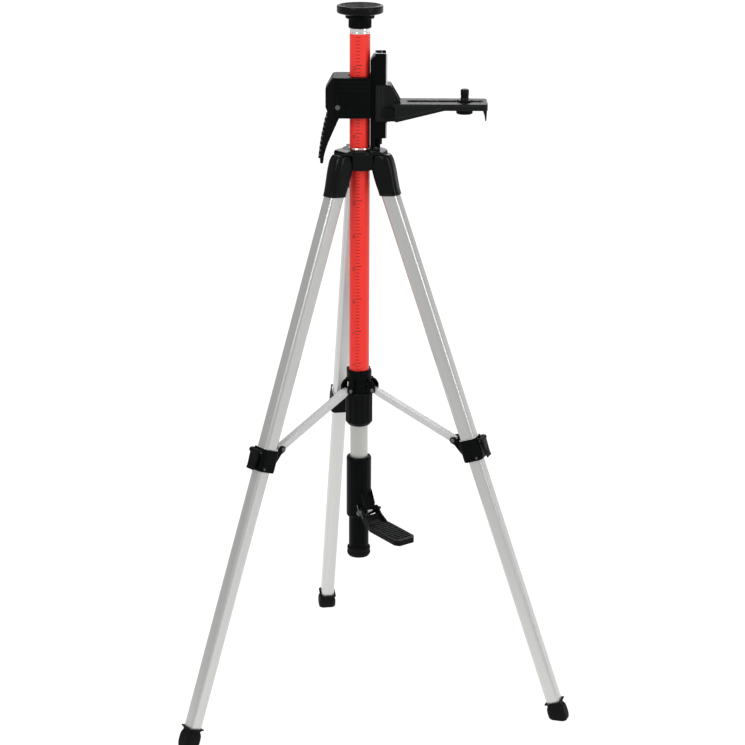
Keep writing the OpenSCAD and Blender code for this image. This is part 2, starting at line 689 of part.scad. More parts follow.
// Lever that squeezes the lock
module lock_lever(i) {
    color([0.07, 0.07, 0.08]) on_leg(i) difference() {
        union() {
            cross_bar(lever_pin_n, -lever_pin_s, lever_barrel_r, 8.7);
            side_plate([[lever_pin_n - 1, -lever_pin_s], [lever_pin_n + 3.2, -lever_pin_s],
                [lever_pin_n + 2.6, -lever_pin_s - 22], [lever_pin_n + 3.6, -lever_pin_s - 28],
                [lever_pin_n + 1.4, -lever_pin_s - 28], [lever_pin_n - 1, -lever_pin_s - 21]], -8.7, 8.7);
        }
        cross_bar(lever_pin_n, -lever_pin_s, 1.5 + slide_gap, 30);
    }
}

// The rivet that holds the brace and the pin that holds the lock's lever
module leg_pins(i) {
    head_y = brace_w / 2 + ear_gap + ear_w;
    color("silver") on_leg(i) {
        cross_bar(lug_pin_n, -lug_pin_s, brace_pin_r, head_y);
        for (side = [-1, 1]) translate([lug_pin_n, side * head_y, -lug_pin_s]) rotate([-90 * side, 0, 0])
            cylinder(r1 = 3.2, r2 = 2, h = 1.4);
        cross_bar(lever_pin_n, -lever_pin_s, 1.5, 12.5);
    }
}

// Rubber foot on the lower leg's end, cut level with the floor
module leg_foot(i) {
    color([0.06, 0.06, 0.06]) intersection() {
        on_leg(i) difference() {
            union() {
                translate([0, 0, -900]) cylinder(r = foot_r, h = 900 - foot_top_s);
                translate([0, 0, -foot_top_s - 3]) cylinder(r = foot_r + 0.5, h = 3);
            }
            translate([0, 0, -lower_leg_end_s]) linear_extrude(40) polygon(rounded_square(lower_leg_w, 3.6));
        }
        translate([-500, -500, 0]) cube([1000, 1000, 100]);
    }
}

// Channel from the leg's lug to the collar, open underneath. Its collar end runs free
// between the collar's ears, because the leg and collar joints are tied by fixed ratios.
module brace(i) {
    h = brace_h / 2;
    tip_x = brace_len - brace_tip_gap;
    color([0.76, 0.76, 0.76])
        rotate([0, 0, leg_azimuth(i)]) translate([brace_pin_x, 0, brace_pin_z])
            rotate([0, brace_slope, 0]) mirror([1, 0, 0]) difference() {
                union() {
                    side_plate([[0, -h], [0, h], [tip_x - 7, h], [tip_x, 1], [tip_x, -1], [tip_x - 7, -h]],
                        -brace_w / 2, brace_w / 2);
                    cross_bar(0, 0, h, brace_w / 2);
                }
                block(-10, tip_x - 9, -brace_w / 2 + brace_wall, brace_w / 2 - brace_wall, -h - 1, h - brace_wall);
                cross_bar(0, 0, brace_pin_r + slide_gap, 30);
            }
}

// Ring that slides on the outer tube, with a pair of ears for each brace
module brace_collar() {
    ear_in = brace_w / 2 + ear_gap;
    color([0.08, 0.08, 0.09]) difference() {
        union() {
            translate([0, 0, collar_ring_z]) cylinder(r = collar_ring_r, h = collar_ring_h);
            for (i = [1:3]) rotate([0, 0, leg_azimuth(i)]) for (side = [-1, 1])
                side_plate(concat(
                    [[lock_neck_r + 1, collar_ring_z + 8], [lock_neck_r + 1, collar_pin_z - 3]],
                    arc([collar_pin_r, collar_pin_z], ear_r - 0.5, 250, 380, 8),
                    [[collar_ring_r + 1, collar_ring_z + 8]]),
                    side > 0 ? ear_in : -ear_in - ear_w, side > 0 ? ear_in + ear_w : -ear_in);
        }
        translate([0, 0, collar_pin_z - 20]) cylinder(r = lock_neck_r + free_gap, h = collar_ring_z - collar_pin_z + 20);
        translate([0, 0, collar_ring_z - 1]) cylinder(r = tube_r + slide_gap, h = collar_ring_h + 2);
    }
}

// Rivet heads on the outer faces of the collar's ears
module collar_rivets() {
    face_y = brace_w / 2 + ear_gap + ear_w;
    color("silver") for (i = [1:3]) rotate([0, 0, leg_azimuth(i)]) for (side = [-1, 1])
        translate([collar_pin_r, side * face_y, collar_pin_z]) rotate([-90 * side, 0, 0])
            cylinder(r1 = 3.2, r2 = 2, h = 1.4);
}

outer_tube();
coupling_ferrule();
pad_carrier();
pad_disc();
pad_facing();
lock_body();
lock_nut();
inner_tube();
guide_bush();
foot_housing();
pedal_pin();
pedal_spring();
foot_pedal();
foot_tube();
foot_rubber();
foot_spring();
clamp_body();
clamp_shoe();
cam_lever();
cam_pin();
guide_rail();
rail_screws();
arm_slider();
laser_arm();
arm_screws();
adjust_knob();
laser_stud();
stud_knob();
tripod_hub();
hub_ring();
hub_pins();
brace_collar();
collar_rivets();
leg_cap(1);  // leg_cap_1
leg_cap(2);  // leg_cap_2
leg_cap(3);  // leg_cap_3
upper_leg(1);  // upper_leg_1
upper_leg(2);  // upper_leg_2
upper_leg(3);  // upper_leg_3
leg_lock(1);  // leg_lock_1
leg_lock(2);  // leg_lock_2
leg_lock(3);  // leg_lock_3
lock_lever(1);  // lock_lever_1
lock_lever(2);  // lock_lever_2
lock_lever(3);  // lock_lever_3
leg_pins(1);  // leg_pins_1
leg_pins(2);  // leg_pins_2
leg_pins(3);  // leg_pins_3
lower_leg(1);  // lower_leg_1
lower_leg(2);  // lower_leg_2
lower_leg(3);  // lower_leg_3
leg_foot(1);  // leg_foot_1
leg_foot(2);  // leg_foot_2
leg_foot(3);  // leg_foot_3
brace(1);  // brace_1
brace(2);  // brace_2
brace(3);  // brace_3
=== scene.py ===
"""Telescopic laser pole on a folding tripod: the looks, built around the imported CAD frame."""
import json
import math
import bpy
import bmesh
from mathutils import Matrix, Vector


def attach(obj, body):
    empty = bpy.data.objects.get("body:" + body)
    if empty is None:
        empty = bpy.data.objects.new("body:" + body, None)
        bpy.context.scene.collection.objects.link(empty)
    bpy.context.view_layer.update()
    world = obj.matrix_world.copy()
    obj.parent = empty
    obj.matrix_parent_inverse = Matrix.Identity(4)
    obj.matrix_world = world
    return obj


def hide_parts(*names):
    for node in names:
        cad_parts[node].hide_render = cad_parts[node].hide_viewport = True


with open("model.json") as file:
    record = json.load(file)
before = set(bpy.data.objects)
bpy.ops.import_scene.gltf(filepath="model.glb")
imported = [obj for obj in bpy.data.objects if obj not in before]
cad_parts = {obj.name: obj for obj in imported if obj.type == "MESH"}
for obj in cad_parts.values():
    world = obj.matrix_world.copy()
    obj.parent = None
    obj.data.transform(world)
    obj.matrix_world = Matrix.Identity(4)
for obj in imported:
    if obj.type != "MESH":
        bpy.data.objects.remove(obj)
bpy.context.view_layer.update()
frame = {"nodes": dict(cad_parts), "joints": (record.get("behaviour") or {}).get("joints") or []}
JOINTS = {j["name"]: j for j in frame["joints"]}
MM = 0.001
TAU = 2 * math.pi


# ---------------------------------------------------------------- camera, floor, light

def node(tree, kind, inputs=None, **settings):
    """A new node in tree. inputs gives a value or a socket to link for each input."""
    n = tree.nodes.new("ShaderNode" + kind)
    for key, value in settings.items():
        setattr(n, key, value)
    for key, value in (inputs or {}).items():
        if isinstance(value, bpy.types.NodeSocket):
            tree.links.new(value, n.inputs[key])
        else:
            n.inputs[key].default_value = value
    return n


def two_tone(tree, factor, low, high):
    """A colour ramp between two (position, colour) stops."""
    ramp = node(tree, "ValToRGB", {0: factor})
    for stop, (position, colour) in zip(ramp.color_ramp.elements, (low, high)):
        stop.position = position
        stop.color = (*colour, 1)
    return ramp.outputs[0]


def grey(value):
    return (value, value, value)


def build_camera():
    cam = bpy.data.objects.new("camera", bpy.data.cameras.new("camera"))
    bpy.context.scene.collection.objects.link(cam)
    cam.data.sensor_width = 36
    cam.data.lens = 106.8
    cam.data.clip_end = 200
    cam.matrix_world = (Matrix.Translation((0.02025, -3.201, 1.4986))
                        @ Matrix.Rotation(math.radians(72.96), 4, "X")
                        @ Matrix.Rotation(math.radians(0.25), 4, "Z"))
    bpy.context.scene.camera = cam
    bpy.context.scene.view_settings.view_transform = "Standard"


def build_world():
    """A pale studio, a little darker towards the sides."""
    world = bpy.data.worlds.new("studio")
    bpy.context.scene.world = world
    world.use_nodes = True
    nt = world.node_tree
    nt.nodes.clear()
    sep = node(nt, "SeparateXYZ", {0: node(nt, "TexCoord").outputs["Generated"]})
    side = node(nt, "Math", {0: sep.outputs["X"]}, operation="ABSOLUTE")
    tone = two_tone(nt, side.outputs[0], (0.30, grey(0.95)), (0.80, grey(0.85)))
    background = node(nt, "Background", {"Color": tone, "Strength": 0.58})
    node(nt, "OutputWorld", {0: background.outputs[0]})


def build_floor():
    """A floor that glows under, behind and right of the tripod and falls off to the left and front."""
    me = bpy.data.meshes.new("floor")
    s = 40
    me.from_pydata([(-s, -s, 0), (s, -s, 0), (s, s, 0), (-s, s, 0)], [], [(0, 1, 2, 3)])
    floor = bpy.data.objects.new("floor", me)
    bpy.context.scene.collection.objects.link(floor)
    m = bpy.data.materials.new("pale_floor")
    m.use_nodes = True
    nt = m.node_tree
    b = nt.nodes["Principled BSDF"]
    b.inputs["Base Color"].default_value = (*grey(0.08), 1)
    b.inputs["Roughness"].default_value = 0.8
    b.inputs["Specular IOR Level"].default_value = 0.1
    b.inputs["Emission Color"].default_value = (1, 1, 1, 1)
    sep = node(nt, "SeparateXYZ", {0: node(nt, "TexCoord").outputs["Object"]})
    x, y = sep.outputs["X"], sep.outputs["Y"]

    def calc(op, *values):
        return node(nt, "Math", dict(enumerate(values)), operation=op).outputs[0]
    widening, camera_back, margin = 0.19, 3.2, 0.15
    spread = calc("MULTIPLY_ADD", y, widening, widening * camera_back + margin)
    past_side = calc("SUBTRACT", calc("MULTIPLY", x, -1.0), spread)
    past_front = calc("MULTIPLY", calc("ADD", y, 0.25), -1.5)
    past = calc("MAXIMUM", past_side, past_front)
    glow = node(nt, "MapRange", {"Value": past, "From Min": 0.0, "From Max": 0.9, "To Min": 1.0,
                                 "To Max": 0.60}, interpolation_type="SMOOTHSTEP")
    nt.links.new(glow.outputs[0], b.inputs["Emission Strength"])
    me.materials.append(m)


def build_lights():
    for name, loc, target, size, power in (
            ("key_light", (-1.6, -2.2, 2.6), (0, 0, 0.7), (1.2, 1.8), 38),
            ("fill_light", (2.3, -1.6, 1.7), (0, 0, 0.7), (1.0, 2.0), 22),
            ("back_light", (0.4, 2.6, 2.4), (0, 0, 0.7), (2.2, 1.4), 30),
            ("top_light", (0, 0, 3.4), (0, 0, 0.5), (2.0, 2.0), 26)):
        light = bpy.data.lights.new(name, "AREA")
        light.shape = "RECTANGLE"
        light.size, light.size_y = size
        light.energy = power
        o = bpy.data.objects.new(name, light)
        bpy.context.scene.collection.objects.link(o)
        o.location = loc
        o.rotation_euler = (Vector(target) - Vector(loc)).to_track_quat("-Z", "Y").to_euler()


build_camera()
build_world()
build_floor()
build_lights()


# ---------------------------------------------------------------- materials

def material(name, base, rough, metal=0.0, vary=0.06, rough_vary=0.08, scale=40.0, stretch=(1, 1, 1),
             bump=0.02, bump_scale=900.0, bump_stretch=(1, 1, 1), coat=0.0, wear=None, spec=0.5):
    """A procedural finish: colour and roughness vary with noise, a fine noise gives the grain,
    and wear, a (colour, strength) pair, makes the edges lighter."""
    m = bpy.data.materials.new(name)
    m.use_nodes = True
    nt = m.node_tree
    b = nt.nodes["Principled BSDF"]
    b.inputs["Metallic"].default_value = metal
    b.inputs["Specular IOR Level"].default_value = spec
    b.inputs["Coat Weight"].default_value = coat
    b.inputs["Coat Roughness"].default_value = 0.12
    place = node(nt, "TexCoord").outputs["Object"]

    def noise(size, stretched, detail, grain):
        mapped = node(nt, "Mapping", {"Vector": place, "Scale": stretched}).outputs[0]
        return node(nt, "TexNoise", {"Vector": mapped, "Scale": size, "Detail": detail,
                                     "Roughness": grain}).outputs["Fac"]

    broad = noise(scale, stretch, 4, 0.55)
    dark = [max(0.0, c * (1 - vary)) for c in base]
    light = [min(1.0, c * (1 + vary)) for c in base]
    colour = two_tone(nt, broad, (0.3, dark), (0.7, light))
    if wear:
        worn, strength = wear
        soft = node(nt, "Bevel", {"Radius": 0.0007}, samples=4).outputs["Normal"]
        flat = node(nt, "NewGeometry").outputs["Normal"]
        turn = node(nt, "VectorMath", {0: soft, 1: flat}, operation="DOT_PRODUCT").outputs["Value"]
        edge = two_tone(nt, turn, (0.80, grey(1)), (0.985, grey(0)))
        amount = node(nt, "Math", {0: edge, 1: strength}, operation="MULTIPLY").outputs[0]
        colour = node(nt, "Mix", {"Factor": amount, "A": colour, "B": (*worn, 1)},
                      data_type="RGBA").outputs["Result"]
    roughness = node(nt, "MapRange", {"Value": broad, "To Min": max(0.02, rough - rough_vary),
                                      "To Max": min(1.0, rough + rough_vary)}).outputs[0]
    fine = noise(bump_scale, bump_stretch, 3, 0.6)
    grain = node(nt, "Bump", {"Strength": bump, "Distance": 0.0004, "Height": fine}).outputs[0]
    for socket, source in (("Base Color", colour), ("Roughness", roughness), ("Normal", grain)):
        nt.links.new(source, b.inputs[socket])
    return m


LONG = (1, 1, 0.02)
MAT = {
    "red_paint": material("red_paint", (0.90, 0.032, 0.022), 0.38, vary=0.05, scale=14,
                          stretch=(1, 1, 0.25), bump=0.10, bump_scale=700, coat=0.08, spec=0.3),
    "ink": material("scale_ink", (0.055, 0.008, 0.008), 0.5, vary=0.3, scale=300, bump=0.1),
    "polished": material("polished_steel", (0.82, 0.82, 0.81), 0.16, metal=1, rough_vary=0.06, scale=200,
                         stretch=(0.1, 0.1, 4), bump=0.08, bump_scale=900, bump_stretch=(0.1, 0.1, 5)),
    "steel": material("pin_steel", (0.62, 0.62, 0.61), 0.3, metal=1, scale=160, bump=0.15),
    "dark_steel": material("dark_screw_steel", (0.13, 0.13, 0.135), 0.38, metal=0.9, scale=160, bump=0.2),
    "alu": material("satin_aluminium", (0.60, 0.60, 0.585), 0.34, metal=0.85, vary=0.035,
                    rough_vary=0.05, scale=120, stretch=LONG, bump=0.25, bump_scale=2200,
                    bump_stretch=(1, 1, 0.012)),
    "alu_pole": material("satin_pole", (0.52, 0.52, 0.50), 0.42, metal=0.6, vary=0.03, rough_vary=0.05,
                         scale=120, stretch=LONG, bump=0.18, bump_scale=2000, bump_stretch=(1, 1, 0.012)),
    "strip": material("satin_strip", (0.60, 0.60, 0.60), 0.55, metal=0.25, vary=0.03, rough_vary=0.05,
                      scale=90, bump=0.2, bump_scale=1600),
    "zinc": material("zinc_strip", (0.62, 0.62, 0.61), 0.4, metal=0.6, vary=0.06, scale=70, bump=0.2,
                     wear=((0.8, 0.8, 0.8), 0.4)),
    "black": material("black_plastic", (0.0020, 0.0025, 0.0026), 0.36, vary=0.16, rough_vary=0.07,
                      scale=35, bump=0.28, bump_scale=1500, wear=((0.03, 0.03, 0.033), 0.4), spec=0.05),
    "gloss": material("gloss_black_plastic", (0.0022, 0.0026, 0.0028), 0.24, vary=0.16, rough_vary=0.06,
                      scale=28, bump=0.10, bump_scale=900, wear=((0.035, 0.035, 0.038), 0.45), spec=0.13),
    "grip": material("matt_black_plastic", (0.0026, 0.0030, 0.0031), 0.45, vary=0.2, rough_vary=0.08,
                     scale=60, bump=0.45, bump_scale=1300, wear=((0.035, 0.035, 0.035), 0.4), spec=0.08),
    "powder": material("black_powder_coat", (0.0045, 0.005, 0.0053), 0.38, vary=0.12, rough_vary=0.08,
                       scale=50, bump=0.5, bump_scale=1100, wear=((0.07, 0.07, 0.07), 0.5), spec=0.17),
    "rubber": material("black_rubber", (0.0032, 0.0032, 0.0032), 0.66, vary=0.25, rough_vary=0.08,
                       scale=60, bump=0.5, bump_scale=900, wear=((0.03, 0.03, 0.03), 0.5), spec=0.1),
    "pale": material("pale_bush", (0.68, 0.67, 0.62), 0.5, scale=60, bump=0.2),
}


# ---------------------------------------------------------------- mesh tools (millimetres)

def settle(o, angle=38):
    """Applies o's modifiers and smooths its faces, keeping edges sharper than angle."""
    if o.modifiers:
        bpy.context.view_layer.update()
        dg = bpy.context.evaluated_depsgraph_get()
        me = bpy.data.meshes.new_from_object(o.evaluated_get(dg))
        o.modifiers.clear()
        o.data = me
    o.data.shade_smooth()
    o.data.set_sharp_from_angle(angle=math.radians(angle))
    return o


def bevel(o, width=0.6, segs=2, angle=35):
    m = o.modifiers.new("bevel", "BEVEL")
    m.width = width * MM
    m.segments = segs
    m.limit_method = "ANGLE"
    m.angle_limit = math.radians(angle)
    m.use_clamp_overlap = True
    m.harden_normals = True
    return settle(o)


def organic(o, voxel, smooth, ratio):
    """Remeshes o in small cells and relaxes it, which rounds every edge, then thins the mesh."""
    m = o.modifiers.new("remesh", "REMESH")
    m.mode = "VOXEL"
    m.voxel_size = voxel * MM
    m = o.modifiers.new("smooth", "SMOOTH")
    m.factor = 0.5
    m.iterations = smooth
    m = o.modifiers.new("thin", "DECIMATE")
    m.ratio = ratio
    return settle(o, 60)


def volume(o):
    bm = bmesh.new()
    bm.from_mesh(o.data)
    v = abs(bm.calc_volume())
    bm.free()
    return v


def cut(o, *cutters, op="DIFFERENCE"):
    """Combines o with the cutters, and stops if the result's volume shows that the solver failed."""
    before = volume(o)
    for c in cutters:
        m = o.modifiers.new("cut", "BOOLEAN")
        m.operation = op
        m.solver = "EXACT"
        m.object = c
    settle(o)
    share = volume(o) / before
    low, high = (0.999, 20) if op == "UNION" else (0.2, 1.001)
    if not low < share < high:
        raise RuntimeError(f"{op} left {share:.2f} of the volume")
    for c in cutters:
        bpy.data.objects.remove(c)
    return o


def join(o, *others):
    """Adds the meshes of others to o, as further shells of one piece."""
    bm = bmesh.new()
    bm.from_mesh(o.data)
    inv = o.matrix_world.inverted()
    for c in others:
        me = c.data.copy()
        me.transform(inv @ c.matrix_world)
        bm.from_mesh(me)
        bpy.data.objects.remove(c)
    bm.to_mesh(o.data)
    bm.free()
    return o


def give(o, name, body, *nodes):
    """Hands o over: its name, its body and the CAD nodes it stands for."""
    o.name = name
    m = o.modifiers.new("flat_faces", "WEIGHTED_NORMAL")
    m.keep_sharp = True
    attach(o, body)
    del o["mat"]
    if nodes:
        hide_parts(*nodes)
    return o


def rounded(pts, radius, steps=5):
    """Rounds the corners of a closed outline. radius is one number or one for each corner."""
    out = []
    n = len(pts)
    for i in range(n):
        p0, p, p1 = Vector(pts[i - 1]), Vector(pts[i]), Vector(pts[(i + 1) % n])
        r = radius[i] if isinstance(radius, (list, tuple)) else radius
        a, b = (p0 - p), (p1 - p)
        la, lb = a.length, b.length
        if r <= 0 or la < 1e-6 or lb < 1e-6:
            out.append(tuple(p))
            continue
        a, b = a / la, b / lb
        ang = a.angle(b)
        if ang > math.pi - 0.05:
            out.append(tuple(p))
            continue
        d = min(r / math.tan(ang / 2), 0.49 * la, 0.49 * lb)
        r = d * math.tan(ang / 2)
        q0, q1 = p + a * d, p + b * d
        c = p + (a + b).normalized() * (r / math.sin(ang / 2))
        v0, v1 = q0 - c, q1 - c
        t0 = math.atan2(v0.y, v0.x)
        dt = (math.atan2(v1.y, v1.x) - t0 + math.pi) % TAU - math.pi
        for k in range(steps + 1):
            t = t0 + dt * k / steps
            out.append((c.x + r * math.cos(t), c.y + r * math.sin(t)))
    return out


def box_outline(x, y, r, steps):
    """Outline of a box from two (low, high) pairs, with corners of radius r."""
    return rounded([(x[0], y[0]), (x[1], y[0]), (x[1], y[1]), (x[0], y[1])], r, steps)


def square_ring(w, r, s, steps=6):
    """A square of side w with round corners, s down a leg."""
    h = w / 2
    return [(x, y, -s) for x, y in rounded([(h, -h), (h, h), (-h, h), (-h, -h)], r, steps)]


def span(side, near, far):
    """The (low, high) pair of a wall from near to far on one side of the middle plane."""
    return (near, far) if side > 0 else (-far, -near)


def flutes(count, depth, sharp=1.0, z0=-1e9, z1=1e9):
    """Grooves along a turned piece between two heights."""
    def mod(a, r, z):
        if not z0 <= z <= z1:
            return 0.0
        c = 0.5 - 0.5 * math.cos(count * a)
        return -depth * (1 - c ** sharp)
    return mod


def at(x, y, z):
    return Matrix.Translation(Vector((x, y, z)) * MM)


class Stock:
    """Material in one finish, placed by one matrix, from which pieces are made."""

    def __init__(self, mat, place=None):
        self.mat = mat
        self.place = place or Matrix()

    def wrap(self, me):
        me.materials.append(MAT[self.mat])
        o = bpy.data.objects.new("part", me)
        bpy.context.scene.collection.objects.link(o)
        o.matrix_world = self.place
        o["mat"] = self.mat
        return o

    def piece(self, verts, faces):
        me = bpy.data.meshes.new("part")
        me.from_pydata([tuple(c * MM for c in v) for v in verts], [], faces)
        bm = bmesh.new()
        bm.from_mesh(me)
        bmesh.ops.remove_doubles(bm, verts=bm.verts, dist=1e-6)
        bmesh.ops.recalc_face_normals(bm, faces=bm.faces)
        bm.to_mesh(me)
        bm.free()
        return self.wrap(me)

    def turned(self, prof, segs=96, mod=None, closed=False):
        """A solid of revolution about Z. prof is a list of (r, z), and mod(angle, r, z) adds to r."""
        verts, faces = [], []
        n = len(prof)
        for r, z in prof:
            for k in range(segs):
                a = TAU * k / segs
                rr = r + (mod(a, r, z) if mod and r > 0.01 else 0)
                verts.append((rr * math.cos(a), rr * math.sin(a), z))
        for i in range(n if closed else n - 1):
            j = (i + 1) % n
            for k in range(segs):
                k2 = (k + 1) % segs
                faces.append((i * segs + k, i * segs + k2, j * segs + k2, j * segs + k))
        if not closed:
            for i in (0, n - 1):
                if prof[i][0] > 0.01:
                    faces.append([i * segs + k for k in range(segs)])
        return settle(self.piece(verts, faces))

    def loft(self, rings, caps=True, angle=38):
        """A skin through rings of equally many points."""
        verts, faces = [], []
        m = len(rings[0])
        for r in rings:
            verts += r
        for i in range(len(rings) - 1):
            for k in range(m):
                k2 = (k + 1) % m
                faces.append((i * m + k, i * m + k2, (i + 1) * m + k2, (i + 1) * m + k))
        if caps:
            faces.append(list(range(m)))
            faces.append([(len(rings) - 1) * m + k for k in range(m)])
        return settle(self.piece(verts, faces), angle)

    def prism(self, pts, lo, hi, edge=0.5, plane="xz", segs=2):
        """An outline given thickness from lo to hi across its plane, with its edges rounded."""
        place = {"xz": lambda p, h: (p[0], h, p[1]), "xy": lambda p, h: (p[0], p[1], h),
                 "yz": lambda p, h: (h, p[0], p[1])}[plane]
        n = len(pts)
        verts = [place(p, lo) for p in pts] + [place(p, hi) for p in pts]
        faces = [list(range(n)), list(range(n, 2 * n))]
        faces += [(k, (k + 1) % n, n + (k + 1) % n, n + k) for k in range(n)]
        o = self.piece(verts, faces)
        return bevel(o, edge, segs) if edge else settle(o)

    def block(self, x, y, z, edge=0.5):
        """A box from three (low, high) pairs."""
        pts = [(x[0], y[0]), (x[1], y[0]), (x[1], y[1]), (x[0], y[1])]
        return self.prism(pts, *z, edge, "xy")

    def rod(self, centre, r, length, segs=32, edge=0.4, axis=(0, 1, 0)):
        """A round bar with rounded ends, centred at a point and lying along an axis."""
        h = length / 2
        e = min(edge, r * 0.5, h * 0.5)
        prof = [(0.0, -h), (r - e, -h)]
        prof += [(r - e + e * math.sin(t), -h + e - e * math.cos(t)) for t in (0.4, 0.8, 1.2, math.pi / 2)]
        prof += [(r - e + e * math.cos(t), h - e + e * math.sin(t))
                 for t in (0.0, 0.4, 0.8, 1.2, math.pi / 2)]
        prof += [(0.0, h)]
        rot = Vector((0, 0, 1)).rotation_difference(Vector(axis)).to_matrix().to_4x4()
        local = at(*centre) @ rot
        return Stock(self.mat, self.place @ local).turned(prof, segs)

    def wire(self, points, r, sides=10):
        """A round wire swept along points."""
        pts = [Vector(p) for p in points]
        n = len(pts)
        rings = []
        up = Vector((0.0, 0.0, 1.0))
        normal = None
        for i, p in enumerate(pts):
            a = pts[i - 1] if i else p
            b = pts[i + 1] if i < n - 1 else p
            t = (b - a).normalized()
            if normal is not None:
                normal = (normal - t * normal.dot(t)).normalized()
            elif abs(t.dot(up)) > 0.95:
                normal = t.orthogonal().normalized()
            else:
                normal = (up - t * up.dot(t)).normalized()
            across = t.cross(normal)
            turns = [TAU * k / sides for k in range(sides)]
            rings.append([tuple(p + (normal * math.cos(u) + across * math.sin(u)) * r) for u in turns])
        return self.loft(rings, angle=60)

    def square_tube(self, w, r, wall, s0, s1):
        """A rounded square tube down a leg from s0 to s1, open at both ends."""
        def ring(inset, s):
            return square_ring(w - 2 * inset, max(0.6, r - inset), s)
        lip = 0.5
        rings = [ring(0.35, s0), ring(0, s0 + lip)]
        steps = max(2, int((s1 - s0) / 60))
        rings += [ring(0, s0 + lip + (s1 - s0 - 2 * lip) * k / steps) for k in range(1, steps + 1)]
        rings += [ring(0.35, s1), ring(wall, s1), ring(wall, s0), ring(0.35, s0)]
        return self.loft(rings, caps=False)


def leg_matrix(i):
    """The frame of leg i: origin on its hinge pin, -Z down the leg, +X outwards."""
    fold, slide = JOINTS[f"leg_fold_{i}"], JOINTS[f"lower_leg_slide_{i}"]
    z, y = Vector(slide["axis"]), Vector(fold["axis"])
    x = y.cross(z)
    m = Matrix((x, y, z)).transposed().to_4x4()
    return Matrix.Translation(Vector(fold["pos_m"])) @ m


def towards_leg(i, further=0.0):
    """The frame of the pole, turned so that +X points to leg i, or further round by an angle."""
    pos = JOINTS[f"leg_fold_{i}"]["pos_m"]
    return Matrix.Rotation(math.atan2(pos[1], pos[0]) + further, 4, "Z")


def screw_head(frame_of, centre, side, prof, segs=32):
    """A turned head that stands out to one side of the middle plane."""
    place = frame_of @ at(*centre) @ Matrix.Rotation(-side * math.pi / 2, 4, "X")
    return Stock("dark_steel", place).turned(prof, segs)


LEGS = (1, 2, 3)
SIDES = (-1, 1)
SIXTH = math.pi / 3
PEDAL_PIN_X, PEDAL_PIN_Z = 25, 302
CAM_X, CAM_Z = -32, 927
PINION_X, PINION_Z = 41.9, 916
STUD_X = 153
RACK_Z, RACK_PITCH = 868.5, math.pi
HINGE_R, HINGE_Z = 34, 838
COLLAR_PIN_R, COLLAR_PIN_Z = 24, 494
EAR_NEAR, EAR_FAR = 6.3, 9.3


# ---------------------------------------------------------------- pole

def build_outer_tube():
    outer = [(13.7, 449), (14.6, 449), (15, 449.5), (15, 700), (15, 1030.4), (14.7, 1031), (13.7, 1031)]
    tube = Stock("red_paint").turned(outer, 128, closed=True)
    give(tube, "pole_outer_tube", "mast", "outer_tube")


def build_head():
    """The ferrule, the ribbed neck, and the pad with its ringed facing."""
    ferrule = [(10, 1005), (13.7, 1005), (13.7, 1031), (14.7, 1031), (15, 1031.5), (15, 1033),
               (14.7, 1033.4), (14.7, 1034), (15, 1034.4), (15, 1038.4), (14.6, 1039), (10, 1039)]
    give(Stock("polished").turned(ferrule, closed=True), "pole_ferrule", "mast", "coupling_ferrule")

    neck = [(0, 1019), (10, 1019), (10, 1039.2), (16.2, 1039.2), (16.8, 1039.9), (16.8, 1041.2),
            (16.8, 1041.4), (16.8, 1050.9), (16.8, 1051.1), (16.8, 1052.0), (17.4, 1052.6), (20.4, 1052.9),
            (21.5, 1053.8), (21.5, 1057.0), (20.9, 1057.8), (6, 1057.8), (6, 1063.2), (5.4, 1063.8),
            (0, 1063.8)]
    ribs = flutes(36, 0.75, 0.6, 1041.3, 1051.0)
    rim = flutes(12, 0.7, 0.35, 1053.7, 1057.1)
    carrier = Stock("black").turned(neck, 144, lambda a, r, z: ribs(a, r, z) + rim(a, r, z))
    give(carrier, "pole_head_neck", "mast", "pad_carrier")

    pad = [(6.1, 1058.15), (23.5, 1058.15), (25.2, 1058.4), (30.8, 1060.0), (32.6, 1060.6), (33.5, 1061.6),
           (33.8, 1062.8), (33.8, 1065.2), (33.8, 1068.4), (33.55, 1068.65), (33.55, 1068.9), (33.8, 1069.1),
           (33.7, 1070.2), (33.0, 1071.3), (31.6, 1071.9), (30.8, 1072.0), (30.1, 1071.9), (29.4, 1071.3),
           (29.2, 1070.6), (6.1, 1070.6)]
    give(Stock("gloss").turned(pad, 128, closed=True), "pad_disc_shell", "pad", "pad_disc")
    facing = [(0, 1070.65), (29.1, 1070.65), (29.1, 1070.9), (28.6, 1071.35)]
    for k in range(8):
        r = 28.0 - 3.4 * k
        facing += [(r, 1071.4), (r - 0.9, 1071.4), (r - 1.3, 1070.95), (r - 2.1, 1070.95), (r - 2.5, 1071.4)]
    facing.append((0, 1071.4))
    give(Stock("rubber").turned(facing), "pad_facing_rubber", "pad", "pad_facing")


FIRST_LONG_MARK, MARK_STEP = 536.5, 5


